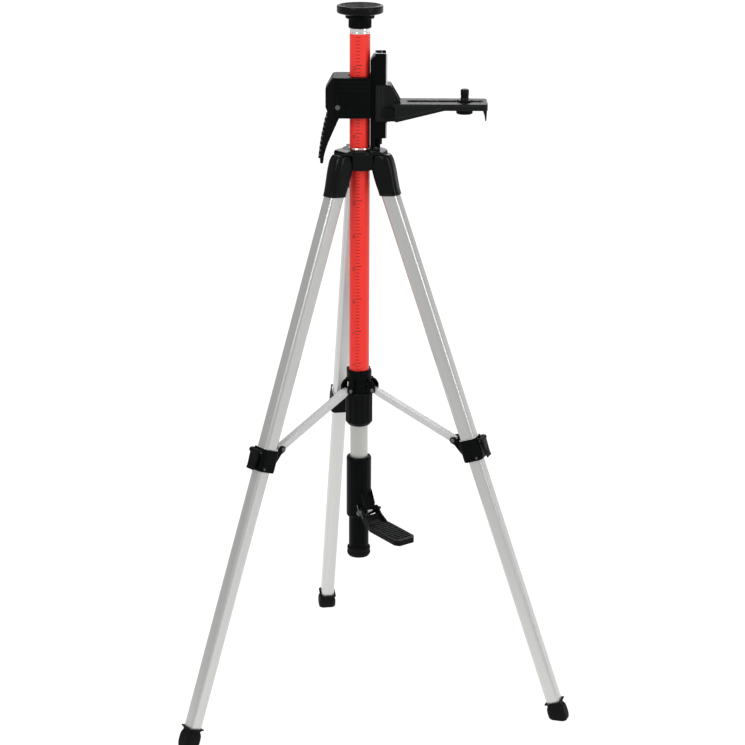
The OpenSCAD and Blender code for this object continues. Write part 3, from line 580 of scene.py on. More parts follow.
def build_scale():
    """Short marks every 5 mm, long ones every 50 mm, and a number by each long one."""
    verts, faces = [], []

    def mark(x0, x1, z, half):
        n, r, sunk = 6, 15.035, 14.9
        base = len(verts)
        for k in range(n + 1):
            a = -math.pi / 2 + math.asin((x0 + (x1 - x0) * k / n) / r)
            for rr, zz in ((r, z - half), (r, z + half), (sunk, z + half), (sunk, z - half)):
                verts.append((rr * math.cos(a), rr * math.sin(a), zz))
        for k in range(n):
            for c in range(4):
                here, c2 = base + 4 * k, (c + 1) % 4
                faces.append((here + c, here + 4 + c, here + 4 + c2, here + c2))
        faces.append([base + c for c in range(4)])
        faces.append([base + 4 * n + c for c in range(4)])

    for k in range(-2, 99):
        z = FIRST_LONG_MARK + MARK_STEP * k
        if k % 10:
            mark(-5.4, 0.2, z, 0.5)
        else:
            mark(-6.0, 3.2, z, 0.6)
    give(Stock("ink").piece(verts, faces), "pole_scale_marks", "mast")

    numbers = bmesh.new()
    for n in range(10):
        text = bpy.data.curves.new("digit", "FONT")
        text.body = str(10 + 5 * n)
        text.size = 6.6 * MM
        text.extrude = 0.04 * MM
        text.resolution_u = 3
        text.align_x = "RIGHT"
        o = bpy.data.objects.new("digit", text)
        bpy.context.scene.collection.objects.link(o)
        bpy.context.view_layer.update()
        me = bpy.data.meshes.new_from_object(o.evaluated_get(bpy.context.evaluated_depsgraph_get()))
        bpy.data.objects.remove(o)
        foot = FIRST_LONG_MARK + 10 * MARK_STEP * n - 1.6
        for v in me.vertices:
            u, h, d = (c / MM for c in v.co)
            a = -math.pi / 2 + (-6.3 - h) / 15.0
            v.co = Vector(((15.0 + d) * math.cos(a), (15.0 + d) * math.sin(a), foot + u)) * MM
        bm = bmesh.new()
        bm.from_mesh(me)
        bmesh.ops.recalc_face_normals(bm, faces=bm.faces)
        bm.to_mesh(me)
        bm.free()
        numbers.from_mesh(me)
        bpy.data.meshes.remove(me)
    me = bpy.data.meshes.new("numbers")
    numbers.to_mesh(me)
    numbers.free()
    give(Stock("ink").wrap(me), "pole_scale_numbers", "mast")


def build_pole_lock():
    """The lock body with a visible neck, and its ribbed nut."""
    body = [(13.4, 441), (15, 441), (17, 455), (17.5, 455), (17.5, 487), (16.6, 487), (16.6, 500),
            (16.2, 500.4), (16.2, 501.4), (16.6, 501.8), (16.6, 508), (16.2, 508.7), (15.05, 508.7),
            (15.05, 449), (13.4, 449)]
    give(Stock("black").turned(body, closed=True), "lock_body_shell", "mast", "lock_body")
    nut = [(13.7, 436), (15.6, 436), (16.6, 436.5), (19.9, 440.6), (20.5, 441.8), (20.5, 442.2), (20.5, 450),
           (20.5, 460), (20.5, 470), (20.5, 480), (20.5, 484.8), (20.5, 485.6), (20.3, 486.8), (19.4, 488.4),
           (18.4, 489), (17.9, 489), (17.9, 440), (13.7, 440)]

    def grooves(a, r, z):
        if r < 19.8:
            return 0.0
        c = 0.5 - 0.5 * math.cos(14 * a)
        fade = min(1.0, max(0.0, (z - 441) / 2.5)) * min(1.0, max(0.0, (486.2 - z) / 2.0))
        return -1.55 * (1 - min(1.0, c * 1.9)) * fade
    give(Stock("grip").turned(nut, 224, grooves, closed=True), "lock_nut_ribbed", "lock_nut", "lock_nut")


def build_inner_tube():
    inner = [(12.1, 340), (13.0, 340), (13.3, 340.4), (13.3, 385.8), (13.12, 386.2), (13.12, 387.0),
             (13.3, 387.4), (13.3, 719.6), (13.0, 720), (12.1, 720)]
    tube = Stock("alu_pole").turned(inner, closed=True)
    give(tube, "inner_tube_shell", "inner_pole", "inner_tube")
    bush = frame["nodes"]["guide_bush"].data.materials
    bush.clear()
    bush.append(MAT["pale"])


build_outer_tube()
build_head()
build_scale()
build_pole_lock()
build_inner_tube()


# ---------------------------------------------------------------- pole foot

PEDAL_POS = JOINTS["pedal_hinge"]["pos_m"]
TOWARDS_PEDAL = Matrix.Rotation(math.atan2(PEDAL_POS[1], PEDAL_POS[0]), 4, "Z")


def build_foot_housing():
    black = Stock("black", TOWARDS_PEDAL)
    shell = [(15.45, 288), (16.8, 288), (18.0, 288.5), (18.9, 290), (19.1, 292), (19.1, 330), (19.1, 376),
             (19.1, 380.5), (18.9, 382.6), (18.2, 384.3), (17.0, 385), (15.2, 385), (14.0, 384.5),
             (13.45, 383.4), (13.35, 341), (15.45, 341)]
    grooves = flutes(18, 0.28, 0.5, 291, 379)
    housing = Stock("black").turned(shell, 144, lambda a, r, z: grooves(a, r, z) if r > 18.6 else 0.0,
                                    closed=True)
    lug = black.prism(rounded([(14.5, 331), (19.0, 325), (29.6, 306.2), (30.0, 300), (27.4, 296.6),
                               (17.4, 291), (14.5, 296)], [0, 6, 3, 4, 3, 2, 0]), -10.2, 10.2, 1.4, segs=3)
    web = rounded([(17, 336), (20.6, 330), (27.6, 313), (24, 306), (17, 306)], 2)
    lug = join(lug, *[black.prism(web, *span(side, 9.0, 10.2)) for side in SIDES])
    lug = cut(lug, black.block((21.0, 36), (-6.4, 6.4), (294, 307.4), 0))
    give(join(housing, lug), "foot_housing_shell", "inner_pole", "foot_housing")


def build_pedal_pin():
    pin = Stock("steel", TOWARDS_PEDAL).rod((PEDAL_PIN_X, 0, PEDAL_PIN_Z), 2.5, 32.4, 40, 0.3)
    give(pin, "pedal_pin_steel", "inner_pole", "pedal_pin")
    dark = Stock("dark_steel", TOWARDS_PEDAL)
    ends = [dark.rod((PEDAL_PIN_X, s * 19.35, PEDAL_PIN_Z), 2.5, 6.3, 40, 0.6) for s in SIDES]
    give(join(*ends), "pedal_pin_ends", "inner_pole")
    pts = [(31.5, -17.1, 294.0), (29.4, -17.1, 298.4)]
    for k in range(1, 77):
        a = TAU * k / 24
        pts.append((PEDAL_PIN_X + 3.6 * math.cos(a), -17.2 - 1.3 * k / 24, PEDAL_PIN_Z + 3.6 * math.sin(a)))
    x, y, z = pts[-1]
    pts += [(x - 3, y + 0.2, z + 5), (x - 5.5, y + 1.4, z + 9)]
    give(dark.wire(pts, 0.6), "pedal_spring_coil", "inner_pole", "pedal_spring")


def build_pedal():
    """Two cheeks on the pin, a web between them, and a ribbed tread with a rounded toe."""
    grip = Stock("grip", TOWARDS_PEDAL)
    plan = rounded([(41.5, -15.2), (50, -19), (110, -19), (116.4, -13.5), (116.4, 13.5), (110, 19), (50, 19),
                    (41.5, 15.2)], [1, 6, 3, 3, 3, 3, 6, 1])

    def tread_ring(inset, drop):
        shrink_x, shrink_y = 1 - inset / 37, 1 - inset / 19
        return [(79 + (x - 79) * shrink_x, y * shrink_y, 288.0 - 5.0 * max(0, x - 42) / 74 - drop)
                for x, y in plan]
    layers = ((1.0, 9.0), (0.2, 8.6), (0, 8.0), (0, 0.9), (0.25, 0.3), (0.9, 0.0))
    pedal = grip.loft([tread_ring(*layer) for layer in layers])
    parts = []
    for k in range(11):
        x = 51.0 + 5.6 * k
        z = 288.0 - 5.0 * (x - 42) / 74
        half = 16.2 if x < 104 else 16.2 - (x - 104) * 0.75
        parts.append(grip.block((x - 1.35, x + 1.35), (-half, half), (z - 0.6, z + 1.0)))
    cheek = rounded([(19.4, 300), (20.4, 306.6), (25.4, 308.4), (30.4, 306.2), (35.5, 298), (50, 289.6),
                     (52, 280.6), (37.5, 279.4)], [2, 4, 4, 4, 8, 3, 1, 3], 6)
    for side in SIDES:
        parts.append(grip.prism(cheek, *span(side, 12.55, 16.05), 0.6))
        parts.append(grip.rod((PEDAL_PIN_X, side * 14.3, PEDAL_PIN_Z), 5.2, 4.3, 40, 0.5))
    web = rounded([(28.6, 293.4), (31.8, 298.6), (39.0, 290.8), (46, 288.6), (48, 281), (38, 280),
                   (33.5, 284.5)], [1, 1.5, 3, 1, 1, 1, 2])
    parts.append(grip.prism(web, -13, 13, 0.6))
    give(join(pedal, *parts), "foot_pedal_body", "pedal", "foot_pedal")


def build_pole_foot():
    tube = [(13.7, 228), (15.0, 228), (15.3, 228.4), (15.3, 316.6), (14.8, 318), (13.7, 318)]
    give(Stock("black").turned(tube, closed=True), "foot_tube_shell", "pole_foot", "foot_tube")
    rubber = [(0, 222.0), (14.6, 222.0), (15.6, 222.3), (17.2, 224.4), (18.0, 226.6), (18.0, 229.0),
              (17.7, 230.2), (17.2, 230.8), (17.2, 232.6), (17.7, 233.2), (17.9, 234.6), (17.6, 236.6),
              (16.6, 237.8), (15.4, 238.0), (15.32, 228.0), (13.65, 228.0), (13.65, 250.4), (12.8, 251.0),
              (0, 251.0)]
    give(Stock("rubber").turned(rubber), "foot_rubber_shell", "pole_foot", "foot_rubber")
    turns, per_turn, r = 10, 28, 12.3
    coil = [(r * math.cos(TAU * k / per_turn), r * math.sin(TAU * k / per_turn),
             253.6 + 84.6 * k / (per_turn * turns)) for k in range(per_turn * turns + 1)]
    give(Stock("steel").wire(coil, 0.85), "foot_spring_coil", "inner_pole", "foot_spring")


build_foot_housing()
build_pedal_pin()
build_pedal()
build_pole_foot()


# ---------------------------------------------------------------- laser carriage

def build_clamp():
    """The clamp body, with a shallow panel in its front and back below a raised band."""
    black = Stock("black")
    side = rounded([(16.2, 911), (16.2, 970), (-39.5, 970), (-50, 952), (-50, 925), (-44.5, 914),
                    (-38, 911)], [0.5, 0.5, 4, 7, 7, 5, 4])
    plan = rounded([(16.2, -25), (13, -28), (-36, -28), (-52, -12.5), (-52, 12.5), (-36, 28), (13, 28),
                    (16.2, 25)], [1, 2, 9, 7, 7, 9, 2, 1])
    body = cut(black.prism(side, -28, 28, 0), black.prism(plan, 900, 980, 0, "xy"), op="INTERSECT")
    panel = rounded([(-33, 917), (10.5, 917), (10.5, 942), (-22, 947), (-33, 943)], 3)
    panels = [black.prism(panel, *span(s, 27.1, 29), 0) for s in SIDES]
    lever_slot = black.block((-60, -25), (-10.9, 10.9), (900, 951), 0)
    pocket = black.block((-32, -5), (-10.9, 10.9), (915, 945), 0)
    body = cut(body, *panels, lever_slot, pocket)
    bore = black.turned([(15.25, 900), (15.25, 980)])
    flare = black.turned([(15.25, 965), (17.4, 970.5), (17.4, 971)])
    bevel(cut(body, bore, flare), 0.7, 2, 50)
    trims = []
    for s in SIDES:
        trims.append(black.rod((CAM_X, s * 27.5, CAM_Z), 6.5, 1.6, 48, 0.5))
        trims += [black.rod((x, s * 27.0, z), 3.1, 1.3, 32, 0.35) for x, z in ((-14, 921), (6, 936))]
        trims += [black.block((-30, 12), (s * 27.95 - 0.22, s * 27.95 + 0.22), (z - 0.45, z + 0.45), 0.15)
                  for z in (952, 958, 964)]
    give(join(body, *trims), "clamp_body_shell", "carriage", "clamp_body")


def build_cam():
    """The cam pin and the lever, which is toothed along its outer edge."""
    dark, grip = Stock("dark_steel"), Stock("grip")
    pin = dark.rod((CAM_X, 0, CAM_Z), 2.5, 40)
    heads = [dark.rod((CAM_X, s * 28.2, CAM_Z), 3.6, 1.2) for s in SIDES]
    give(join(pin, *heads), "cam_pin_steel", "carriage", "cam_pin")

    outer = [(-40.5, -1), (-45.0, -10), (-47.9, -18), (-49.5, -25), (-51.0, -32), (-52.4, -39), (-53.8, -46),
             (-55.0, -53), (-56.0, -60), (-56.9, -67), (-57.7, -74), (-58.2, -80)]
    end = [(-57.9, -85.4), (-56.4, -86.0), (-54.4, -85.8)]
    inner = [(-53.4, -84.5), (-52.2, -75), (-49.6, -65), (-46.0, -55), (-42.2, -46), (-38.2, -37),
             (-34.4, -28.5), (-30.6, -20), (-27.6, -12), (-26.4, -5)]
    reach = 2.9
    teeth = [outer[0]]
    for (x0, h0), (x1, h1) in zip(outer[1:], outer[2:]):
        teeth.append((x0, h0))
        for along_x, along_h, out in ((0.35, 0.40, reach), (0.58, 0.62, reach), (0.74, 0.72, 0)):
            teeth.append((x0 + along_x * (x1 - x0) - out, h0 + along_h * (h1 - h0)))
    pts = [(x, h + CAM_Z) for x, h in teeth + [outer[-1]] + end + inner]
    lever = grip.prism(rounded(pts, 0.35, 2), -10.5, 10.5, 0.7)
    hub = grip.rod((CAM_X, 0, CAM_Z), 7.4, 21, 48, 0.6)
    give(join(lever, hub), "cam_lever_body", "cam_lever", "cam_lever")


def build_rail():
    """A grooved plate with its T, its rack and four screws."""
    black = Stock("black")
    low, high = 864.7, 999.8
    rail = black.block((15.35, 22.1), (-16, 16), (864.5, 1000), 0)
    grooves = [black.block((15, 23), (s * 16.6 - 1.1, s * 16.6 + 1.1), (866, 1000), 0) for s in SIDES]
    chamfer = black.prism([(14, 990), (14, 1002), (21.5, 1002)], -20, 20, 0)
    rail = bevel(cut(rail, *grooves, chamfer), 0.6, 2)
    neck = black.block((21.5, 26), (-6, 6), (low, high), 0.3)
    tee = black.block((25.6, 30.2), (-9.9, 9.9), (low, high))
    root, foot, tip, teeth = 29.8, 30.8, 33.0, 40
    pts = [(root, 868.6), (root, RACK_Z + teeth * RACK_PITCH)]
    for k in reversed(range(teeth)):
        b = RACK_Z + k * RACK_PITCH
        pts += [(x, b + share * RACK_PITCH) for x, share in ((foot, 0.86), (tip, 0.64), (tip, 0.36),
                                                             (foot, 0.14))]
    rack = black.prism(pts, -4, 4, 0)
    ribs = [black.block((15.8, 21.6), (s * 16.2 - 0.5, s * 16.2 + 0.5), (866, 989), 0.25) for s in SIDES]
    give(join(rail, neck, tee, rack, *ribs), "guide_rail_plate", "carriage", "guide_rail")
    screws = [Stock("dark_steel").rod((19.4, y, z), 2.0, 5.0, 24, 0.3, (1, 0, 0))
              for z in (923, 958) for y in (-12.5, 12.5)]
    give(join(*screws), "rail_screw_set", "carriage", "rail_screws")


def build_slider():
    """A channel around the rail's T, with bare metal edges."""
    black, zinc = Stock("black"), Stock("zinc")
    z0, z1, gap = 880, 1004, 0.3
    whole = (z0 - 5, z1 + 5)
    slider = black.block((22.4, 38.0), (-17, 17), (z0, z1), 0)
    cuts = [black.block((20, 26), (-6 - gap, 6 + gap), whole, 0),
            black.block((25.3, 30.6), (-10 - gap, 10 + gap), whole, 0),
            black.block((29, 33.4), (-4 - gap, 4 + gap), whole, 0),
            black.rod((PINION_X, 0, PINION_Z), 11.6, 9.6, 64, 0.1),
            black.block((26.0, 28.2), (-19, -15.6), whole, 0),
            black.block((26.0, 28.2), (15.6, 19), whole, 0),
            black.block((33.0, 37.6), (-14, 14), (z1 - 16, z1 + 5), 0)]
    give(bevel(cut(slider, *cuts), 0.4, 2, 50), "arm_slider_shell", "arm", "arm_slider")
    lower = zinc.block((37.8, 40.0), (-17.0, 17.0), (z0 + 0.3, 903), 0.3)
    upper = zinc.block((37.8, 40.0), (-17.0, 17.0), (958.5, z1 - 0.3), 0.3)
    top = (z1 - 0.15, z1 + 0.25)
    rim = [zinc.block((24.4, 37.8), (s * 16.2 - 0.75, s * 16.2 + 0.75), top, 0.1) for s in SIDES]
    rim.append(zinc.block((22.9, 24.4), (-16.9, -11), top, 0.1))
    give(join(lower, upper, *rim), "slider_edge_strip", "arm")


def build_platform():
    """The arm: a slotted plate with skirts, a root that holds the slider, and a claw at the end."""
    powder = Stock("powder")
    half, end = 26, 186
    skirt = rounded([(51, 906), (53, 905.2), (123, 922.5), (end, 922.5), (end, 932), (51, 932)],
                    [1, 1, 12, 2.5, 1.2, 0], 6)
    gusset = rounded([(40, 931), (40, 958), (44.6, 958), (46.6, 955.5), (57, 938), (60.5, 931)],
                     [0, 0, 1.5, 2, 3, 0], 4)
    arm = powder.block((48, end), (-half, half), (928, 932), 0)
    more = [powder.prism(skirt, *span(s, 23, half), 0) for s in SIDES]
    more += [powder.block((183, end), (-half, half), (922.5, 932), 0),
             powder.block((40, 54), (-17, 17), (905, 932), 0),
             powder.block((51, 54), (-half, half), (906, 932), 0),
             powder.block((40, 45), (-17, 17), (931, 958), 0)]
    more += [powder.prism(gusset, *span(s, 13, 17), 0) for s in SIDES]
    arm = cut(arm, *more, op="UNION")

    r = 6.5
    cuts = []
    for s in SIDES:
        pts = [(187, s * (half - r)), (187, s * 27), (end - r, s * 27), (end - r, s * half)]
        pts += [(end - r + r * math.sin(t), s * (half - r + r * math.cos(t)))
                for t in [math.pi / 2 * k / 8 for k in range(1, 9)]]
        if s < 0:
            pts.reverse()
        cuts.append(powder.prism(pts, 915, 940, 0, "xy"))
    cuts += [powder.prism(box_outline((69.5, 180), (-6.2, 6.2), 6.15, 10), 915, 940, 0, "xy"),
             powder.prism(box_outline((67.5, 182), (-8.2, 8.2), 8.1, 10), 931.4, 940, 0, "xy"),
             powder.rod((PINION_X, 0, PINION_Z), 11.6, 9.6, 64, 0.1),
             powder.rod((PINION_X, -10, PINION_Z), 3.1, 40, 32, 0.1)]
    bevel(cut(arm, *cuts), 0.55, 2, 40)

    claw = rounded([(178.6, 924.5), (179.8, 918.5), (182.4, 911), (183.6, 903.4), (185.2, 903.2),
                    (185.6, 912), (186, 918), (186, 924.5)], [0, 2, 4, 0.5, 0.5, 3, 1, 0], 4)
    parts = [powder.prism(claw, -2.4, 2.4)]
    cheek = box_outline((23.0, 40.4), (905, 958), 1.2, 5)
    for s in SIDES:
        parts.append(powder.prism(cheek, *span(s, 17.15, 18.65), 0.4))
        for x in (28.2, 33.4):
            parts.append(powder.block((x - 0.5, x + 0.5), (s * 18.6 - 0.35, s * 18.6 + 0.35), (908, 955),
                                      0.15))
        face = (s * half - 0.3, s * half + 0.3)
        parts.append(powder.prism([(56, 911.5), (118, 925.6), (118, 926.6), (56, 912.6)], *face, 0.1))
        parts.append(powder.block((58, 178), face, (929.2, 930.0), 0.1))
        for x in (66, 84, 102, 120, 138):
            low = 924.5 if x > 110 else 918
            parts.append(powder.block((x - 0.9, x + 0.9), span(s, 7.6, 23.2), (low, 928.2), 0.2))
    give(join(arm, *parts), "laser_arm_platform", "arm", "laser_arm")

    screws = []
    head = [(0, 0), (3.6, 0), (3.6, 1.3), (3.1, 1.8), (1.9, 2.0), (1.9, 0.8), (0, 0.8)]
    for z in (940, 952):
        for y in (-9, 9):
            place = at(45, y, z) @ Matrix.Rotation(math.pi / 2, 4, "Y")
            screws += [Stock("dark_steel", place).turned(head, 32),
                       Stock("dark_steel").rod((42.5, y, z), 2, 5, 24, 0.2, (1, 0, 0))]
    give(join(*screws), "arm_screw_set", "arm", "arm_screws")


def build_adjust_knob():
    """The knob with its shaft and its pinion, whose teeth mesh with the rack."""
    place = at(PINION_X, 0, PINION_Z) @ Matrix.Rotation(math.pi / 2, 4, "X")
    knob = [(0, 18), (8.6, 18), (9.4, 18.4), (10, 19.2), (10, 20), (10, 26), (10, 26.8), (9.4, 27.3),
            (8.2, 27.5), (7.4, 27.4), (6.6, 26.7), (0, 26.6)]
    grooves = flutes(20, 0.8, 0.7)
    head = Stock("grip", place).turned(knob, 120, lambda a, r, z: grooves(a, r, z) if r > 9.3 else 0.0)
    shaft = Stock("steel", place).turned([(0, -12), (2.7, -12), (3, -11.7), (3, 18), (0, 18)], 32)
    teeth, pitch_r = 20, 10
    along = (PINION_Z - RACK_Z) / RACK_PITCH
    phase = along - math.floor(along) - 0.5
    pts = []
    for k in range(teeth):
        for dr, da in ((-1.2, -0.24), (0.85, -0.10), (0.85, 0.10), (-1.2, 0.24)):
            a = math.pi + TAU * (k + 0.5 + da + phase) / teeth
            pts.append(((pitch_r + dr) * math.cos(a), (pitch_r + dr) * math.sin(a)))
    gear = Stock("black", place).prism(pts, -4, 4, 0, "xy")
    give(join(head, shaft, gear), "adjust_knob_body", "adjust_knob", "adjust_knob")


def build_stud():
    stud = [(0, 916.4), (3.6, 916.4), (4, 916.9), (4, 928), (5.8, 928), (5.8, 932), (10.6, 932),
            (11.15, 932.5), (11.15, 934.4), (10.6, 935), (7.0, 935.3), (6.2, 936.2), (5.85, 938),
            (5.85, 940.4), (6.35, 942.2), (6.35, 947.6), (6.0, 949.2), (5.0, 950.2), (3.6, 950.5),
            (0, 950.5)]
    rim, thread = flutes(24, 0.45, 0.6, z1=934.5), flutes(8, 0.35, 0.4, z0=941)

    def mod(a, r, z):
        return (rim(a, r, z) if r > 10.5 else 0.0) + (thread(a, r, z) if 6.1 < r < 6.4 else 0.0)
    give(Stock("gloss", at(STUD_X, 0, 0)).turned(stud, 96, mod), "laser_stud_body", "stud", "laser_stud")
    knob = [(0, 914), (10.6, 914), (11.6, 914.5), (12.1, 915.4), (12.1, 916), (12.1, 925), (12.1, 926.2),
            (11.6, 927.2), (11.0, 927.6), (4.1, 927.6), (4.1, 916), (0, 916)]
    grooves = flutes(24, 0.7, 0.6)
    knob = Stock("grip", at(STUD_X, 0, 0)).turned(knob, 144, lambda a, r,
                                                  z: grooves(a, r, z) if r > 11.5 else 0)
    give(knob, "stud_knob_body", "stud_knob", "stud_knob")


build_clamp()
build_cam()
build_rail()
build_slider()
build_platform()
build_adjust_knob()
build_stud()


# ---------------------------------------------------------------- tripod

def build_hub():
    """A core with a lobe over each leg and an arch between lobes, softened, then fitted with lugs."""
    gloss = Stock("gloss")
    core = gloss.turned([(0, 833), (20.6, 833), (21, 833.6), (21, 857), (28.5, 857), (27.5, 860),
                         (25, 862.8), (0, 862.8)])
    lobe = [(0, 850), (41.3, 850), (41.3, 855.6), (40.7, 857.8), (39.2, 859.9), (36.4, 861.7), (32, 862.8),
            (27, 863.1), (0, 863.1)]
    arch = rounded([(-15.5, 835.5), (-11, 833.2), (0, 832.8), (11, 833.2), (15.5, 835.5), (17, 842),
                    (17, 860), (-17, 860), (-17, 842)], 2)
    corner = box_outline((-5, 41.3), (-14.6, 14.6), [0, 8, 8, 0], 8)
    parts, gaps, extra = [], [], []
    for i in LEGS:
        over = Stock("gloss", towards_leg(i))
        between = Stock("gloss", towards_leg(i, SIXTH))
        parts.append(cut(over.prism(lobe, -14.6, 14.6, 0), over.prism(corner, 840, 870, 0, "xy"),
                         op="INTERSECT"))
        parts.append(between.prism(arch, 18, 26.6, 0, "yz"))
    core = cut(core, *parts, op="UNION")
    for i in LEGS:
        over = Stock("gloss", towards_leg(i))
        gaps.append(over.block((21.4, 60), (-15.0, 15.0), (820, 845.0), 0))
        gaps.append(over.rod((HINGE_R, 0, HINGE_Z), 18.7, 30.6, 96, 0))
    core = organic(cut(core, *gaps), 0.75, 5, 0.45)
    bore = gloss.turned([(15.0, 820), (15.0, 880)])
    flare = gloss.turned([(15.0, 860.6), (18.6, 864.2), (18.6, 866)])
    cut(core, bore, flare)

    lug = rounded([(18, 833), (27, 829.2), (34, 829.2), (36, 838), (36, 857.6), (18, 857.6)],
                  [0, 3, 2, 2, 0, 0])
    bead = []
    for k in range(25):
        t = -1 + 2 * k / 24
        y = 15.6 * t
        x = math.sqrt(max(0.0, 27.4 ** 2 - y * y))
        bead.append((x, y, 857.9 - 5.5 * t * t - 6.0 * abs(t) ** 5))
    for i in LEGS:
        over = Stock("gloss", towards_leg(i))
        extra.append(over.prism(lug, -7, 7, 0.6))
        extra.append(over.rod((HINGE_R, 0, HINGE_Z), 12, 14, 64, 0.6))
        extra.append(Stock("gloss", towards_leg(i, SIXTH)).wire(bead, 0.8))
    give(join(core, *extra), "tripod_hub_shell", "mast", "tripod_hub")
    ring = [(15.02, 861.6), (16.6, 861.6), (16.7, 862.6), (16.5, 863.9), (16.0, 864.5), (15.4, 864.6),
            (15.02, 864.4)]
    give(Stock("polished").turned(ring, closed=True), "hub_ring_steel", "mast", "hub_ring")
    pins = [Stock("steel", towards_leg(i)).rod((HINGE_R, 0, HINGE_Z), 3, 28.4, 32, 0.5) for i in LEGS]
    give(join(*pins), "hub_pin_set", "mast", "hub_pins")


def build_leg_cap(i, m):
    """A smooth boot that hinges under the hub."""
    gloss = Stock("gloss", m)
    outline = [(13.8, -56), (15.0, -38), (16.7, -26), (18.4, -15), (19.5, -6), (20.1, 1.4), (20.2, 7.4),
               (18.5, 12.3), (15.4, 15.0), (13.2, 15.1)]
    for r, degrees in ((18.3, range(52, 93, 8)), (11.5, range(112, 190, 10))):
        arc = [math.radians(a) for a in degrees]
        outline += [(r * math.cos(a), r * math.sin(a)) for a in arc]
    outline += [(-13.2, -14), (-14.3, -24), (-14.2, -56)]
    rings = []
    for s, lo, hi, half in ((-56, -14.1, 14.0, 14.1), (-38, -14.3, 15.1, 14.2), (-26, -14.4, 16.8, 14.3),
                            (-15, -14.4, 18.5, 14.4), (-6, -14.4, 19.6, 14.4), (4, -14.4, 20.2, 14.2),
                            (10, -14.4, 19.6, 13.8), (15, -14.4, 17.4, 13.0), (19, -14.4, 14.0, 12.0)):
        rings.append([(x, y, s) for x, y in box_outline((lo, hi), (-half, half), [8.5, 10.5, 10.5, 8.5], 8)])
    cap = gloss.prism(outline, -14.4, 14.4, 0)
    cap = organic(cut(cap, gloss.loft(rings), op="INTERSECT"), 0.7, 5, 0.5)

    lean = 0.27
    trim = gloss.prism([(-30, -43.9 + 30 * lean), (30, -43.9 - 30 * lean), (30, -70), (-30, -70)], -30, 30,
                       0)
    opening = math.radians(56)
    slot = gloss.prism([(0, -14.4), (0, 0), (30 * math.cos(opening), 30 * math.sin(opening)), (-30, 30),
                        (-30, -14.4)], -7.3, 7.3, 0)
    cap = cut(cap, trim, slot, gloss.rod((0, 0, 0), 14, 14.6, 64, 0))
    rim = box_outline((-14.35, 14.45), (-14.25, 14.25), [8.6, 10.5, 10.5, 8.6], 8)
    rings = [[(x * s, y * s, z - lean * x * s) for x, y in rim] for s, z in
             ((0.975, -40.8), (0.995, -41.3), (1.01, -42.0), (1.01, -43.2), (0.995, -43.8), (0.96, -44.0),
              (0.84, -44.0), (0.84, -41))]
    give(join(cap, gloss.loft(rings)), f"leg_cap_shell_{i}", f"leg_{i}", f"leg_cap_{i}")


BRACE_PIN_X, BRACE_PIN_S = -23.5, 424.4
LOCK_SCREW_X, LOCK_SCREW_S = 7.5, 457.4


def build_leg_lock(i, m):
    """The lock collar with a stepped top, brace lugs and lever knuckles; its pins; and its metal rim."""
    black, dark = Stock("black", m), Stock("dark_steel", m)
    rings = [square_ring(w, r, s, 7) for w, r, s in ((28.4, 6, 428), (29.4, 6.6, 428.3), (30.2, 7, 429.2),
                                                     (30.2, 7, 431.4), (29.7, 6.8, 431.8),
                                                     (29.7, 6.8, 432.5), (30.6, 7, 433.0), (30.8, 7, 446),
                                                     (31.0, 7, 458.4), (30.8, 7, 460.6), (30.2, 6.8, 461.6),
                                                     (29.2, 6.4, 462.0), (21.2, 4.2, 462),
                                                     (21.2, 4.2, 452.4), (23.6, 5.6, 452.4),
                                                     (23.6, 5.6, 428), (28.4, 6, 428))]
    lock = black.loft(rings, caps=False)
    n, sp = BRACE_PIN_X, BRACE_PIN_S
    ear = rounded([(n - 4.6, -sp + 1.5), (n - 1.5, -sp + 5), (n + 4.2, -sp + 4.6), (-15.2, -sp - 2),
                   (-15.2, -sp - 24), (-16.4, -sp - 24), (n + 0.5, -sp - 7.5), (n - 4.6, -sp - 2.5)],
                  [3, 3, 3, 2, 0, 1, 4, 3])
    knuckle = rounded([(15.0, -430), (17.6, -429.8), (22.6, -431.4), (23.0, -436.2), (19.0, -438.4),
                       (15.0, -441)], [0, 2, 3, 3, 3, 0])
    parts = []
    for sd in SIDES:
        parts.append(black.prism(ear, *span(sd, EAR_NEAR, EAR_FAR), 0.6))
        parts.append(black.rod((n, sd * 9.2, -sp), 4.4, 0.8, 32, 0.3))
        parts.append(black.prism(knuckle, *span(sd, 9.0, 12.5), 0.6))
        rib = (sd * 15.45 - 0.35, sd * 15.45 + 0.35)
        parts += [black.block((-11.5, 11.5), rib, (-s - 0.6, -s + 0.6), 0.25) for s in (438, 443, 448, 453)]
        parts.append(black.rod((LOCK_SCREW_X, sd * 15.3, -LOCK_SCREW_S), 2.6, 1.2, 24, 0.3))
    parts.append(black.block((-16.2, -14.8), (-6, 6), (-460, -434), 0.6))
    give(join(lock, *parts), f"leg_lock_shell_{i}", f"leg_{i}", f"leg_lock_{i}")

    pins = [dark.rod((n, 0, -sp), 2, 18.6, 32, 0.3), dark.rod((19.3, 0, -434), 1.5, 25, 24, 0.3)]
    dome = [(0, 0), (3.2, 0), (3.15, 0.3), (2.6, 0.95), (1.6, 1.3), (0, 1.4)]
    socket = [(0, 0), (1.7, 0), (1.7, 0.3), (1.3, 0.5), (0.7, 0.55), (0.7, 0.1), (0, 0.1)]
    for sd in SIDES:
        pins.append(screw_head(m, (n, sd * 9.5, -sp), sd, dome))
        pins.append(screw_head(m, (LOCK_SCREW_X, sd * 15.8, -LOCK_SCREW_S), sd, socket, 24))
    give(join(*pins), f"leg_pin_set_{i}", f"leg_{i}", f"leg_pins_{i}")
    rim = [square_ring(w, r, s, 7) for w, r, s in ((23.7, 5.7, 428.6), (23.7, 5.7, 427.5),
                                                   (25.6, 5.9, 427.3), (27.0, 6.1, 427.6),
                                                   (27.0, 6.1, 428.6), (23.7, 5.7, 428.6))]
    give(Stock("zinc", m).loft(rim, caps=False), f"leg_lock_rim_{i}", f"leg_{i}")


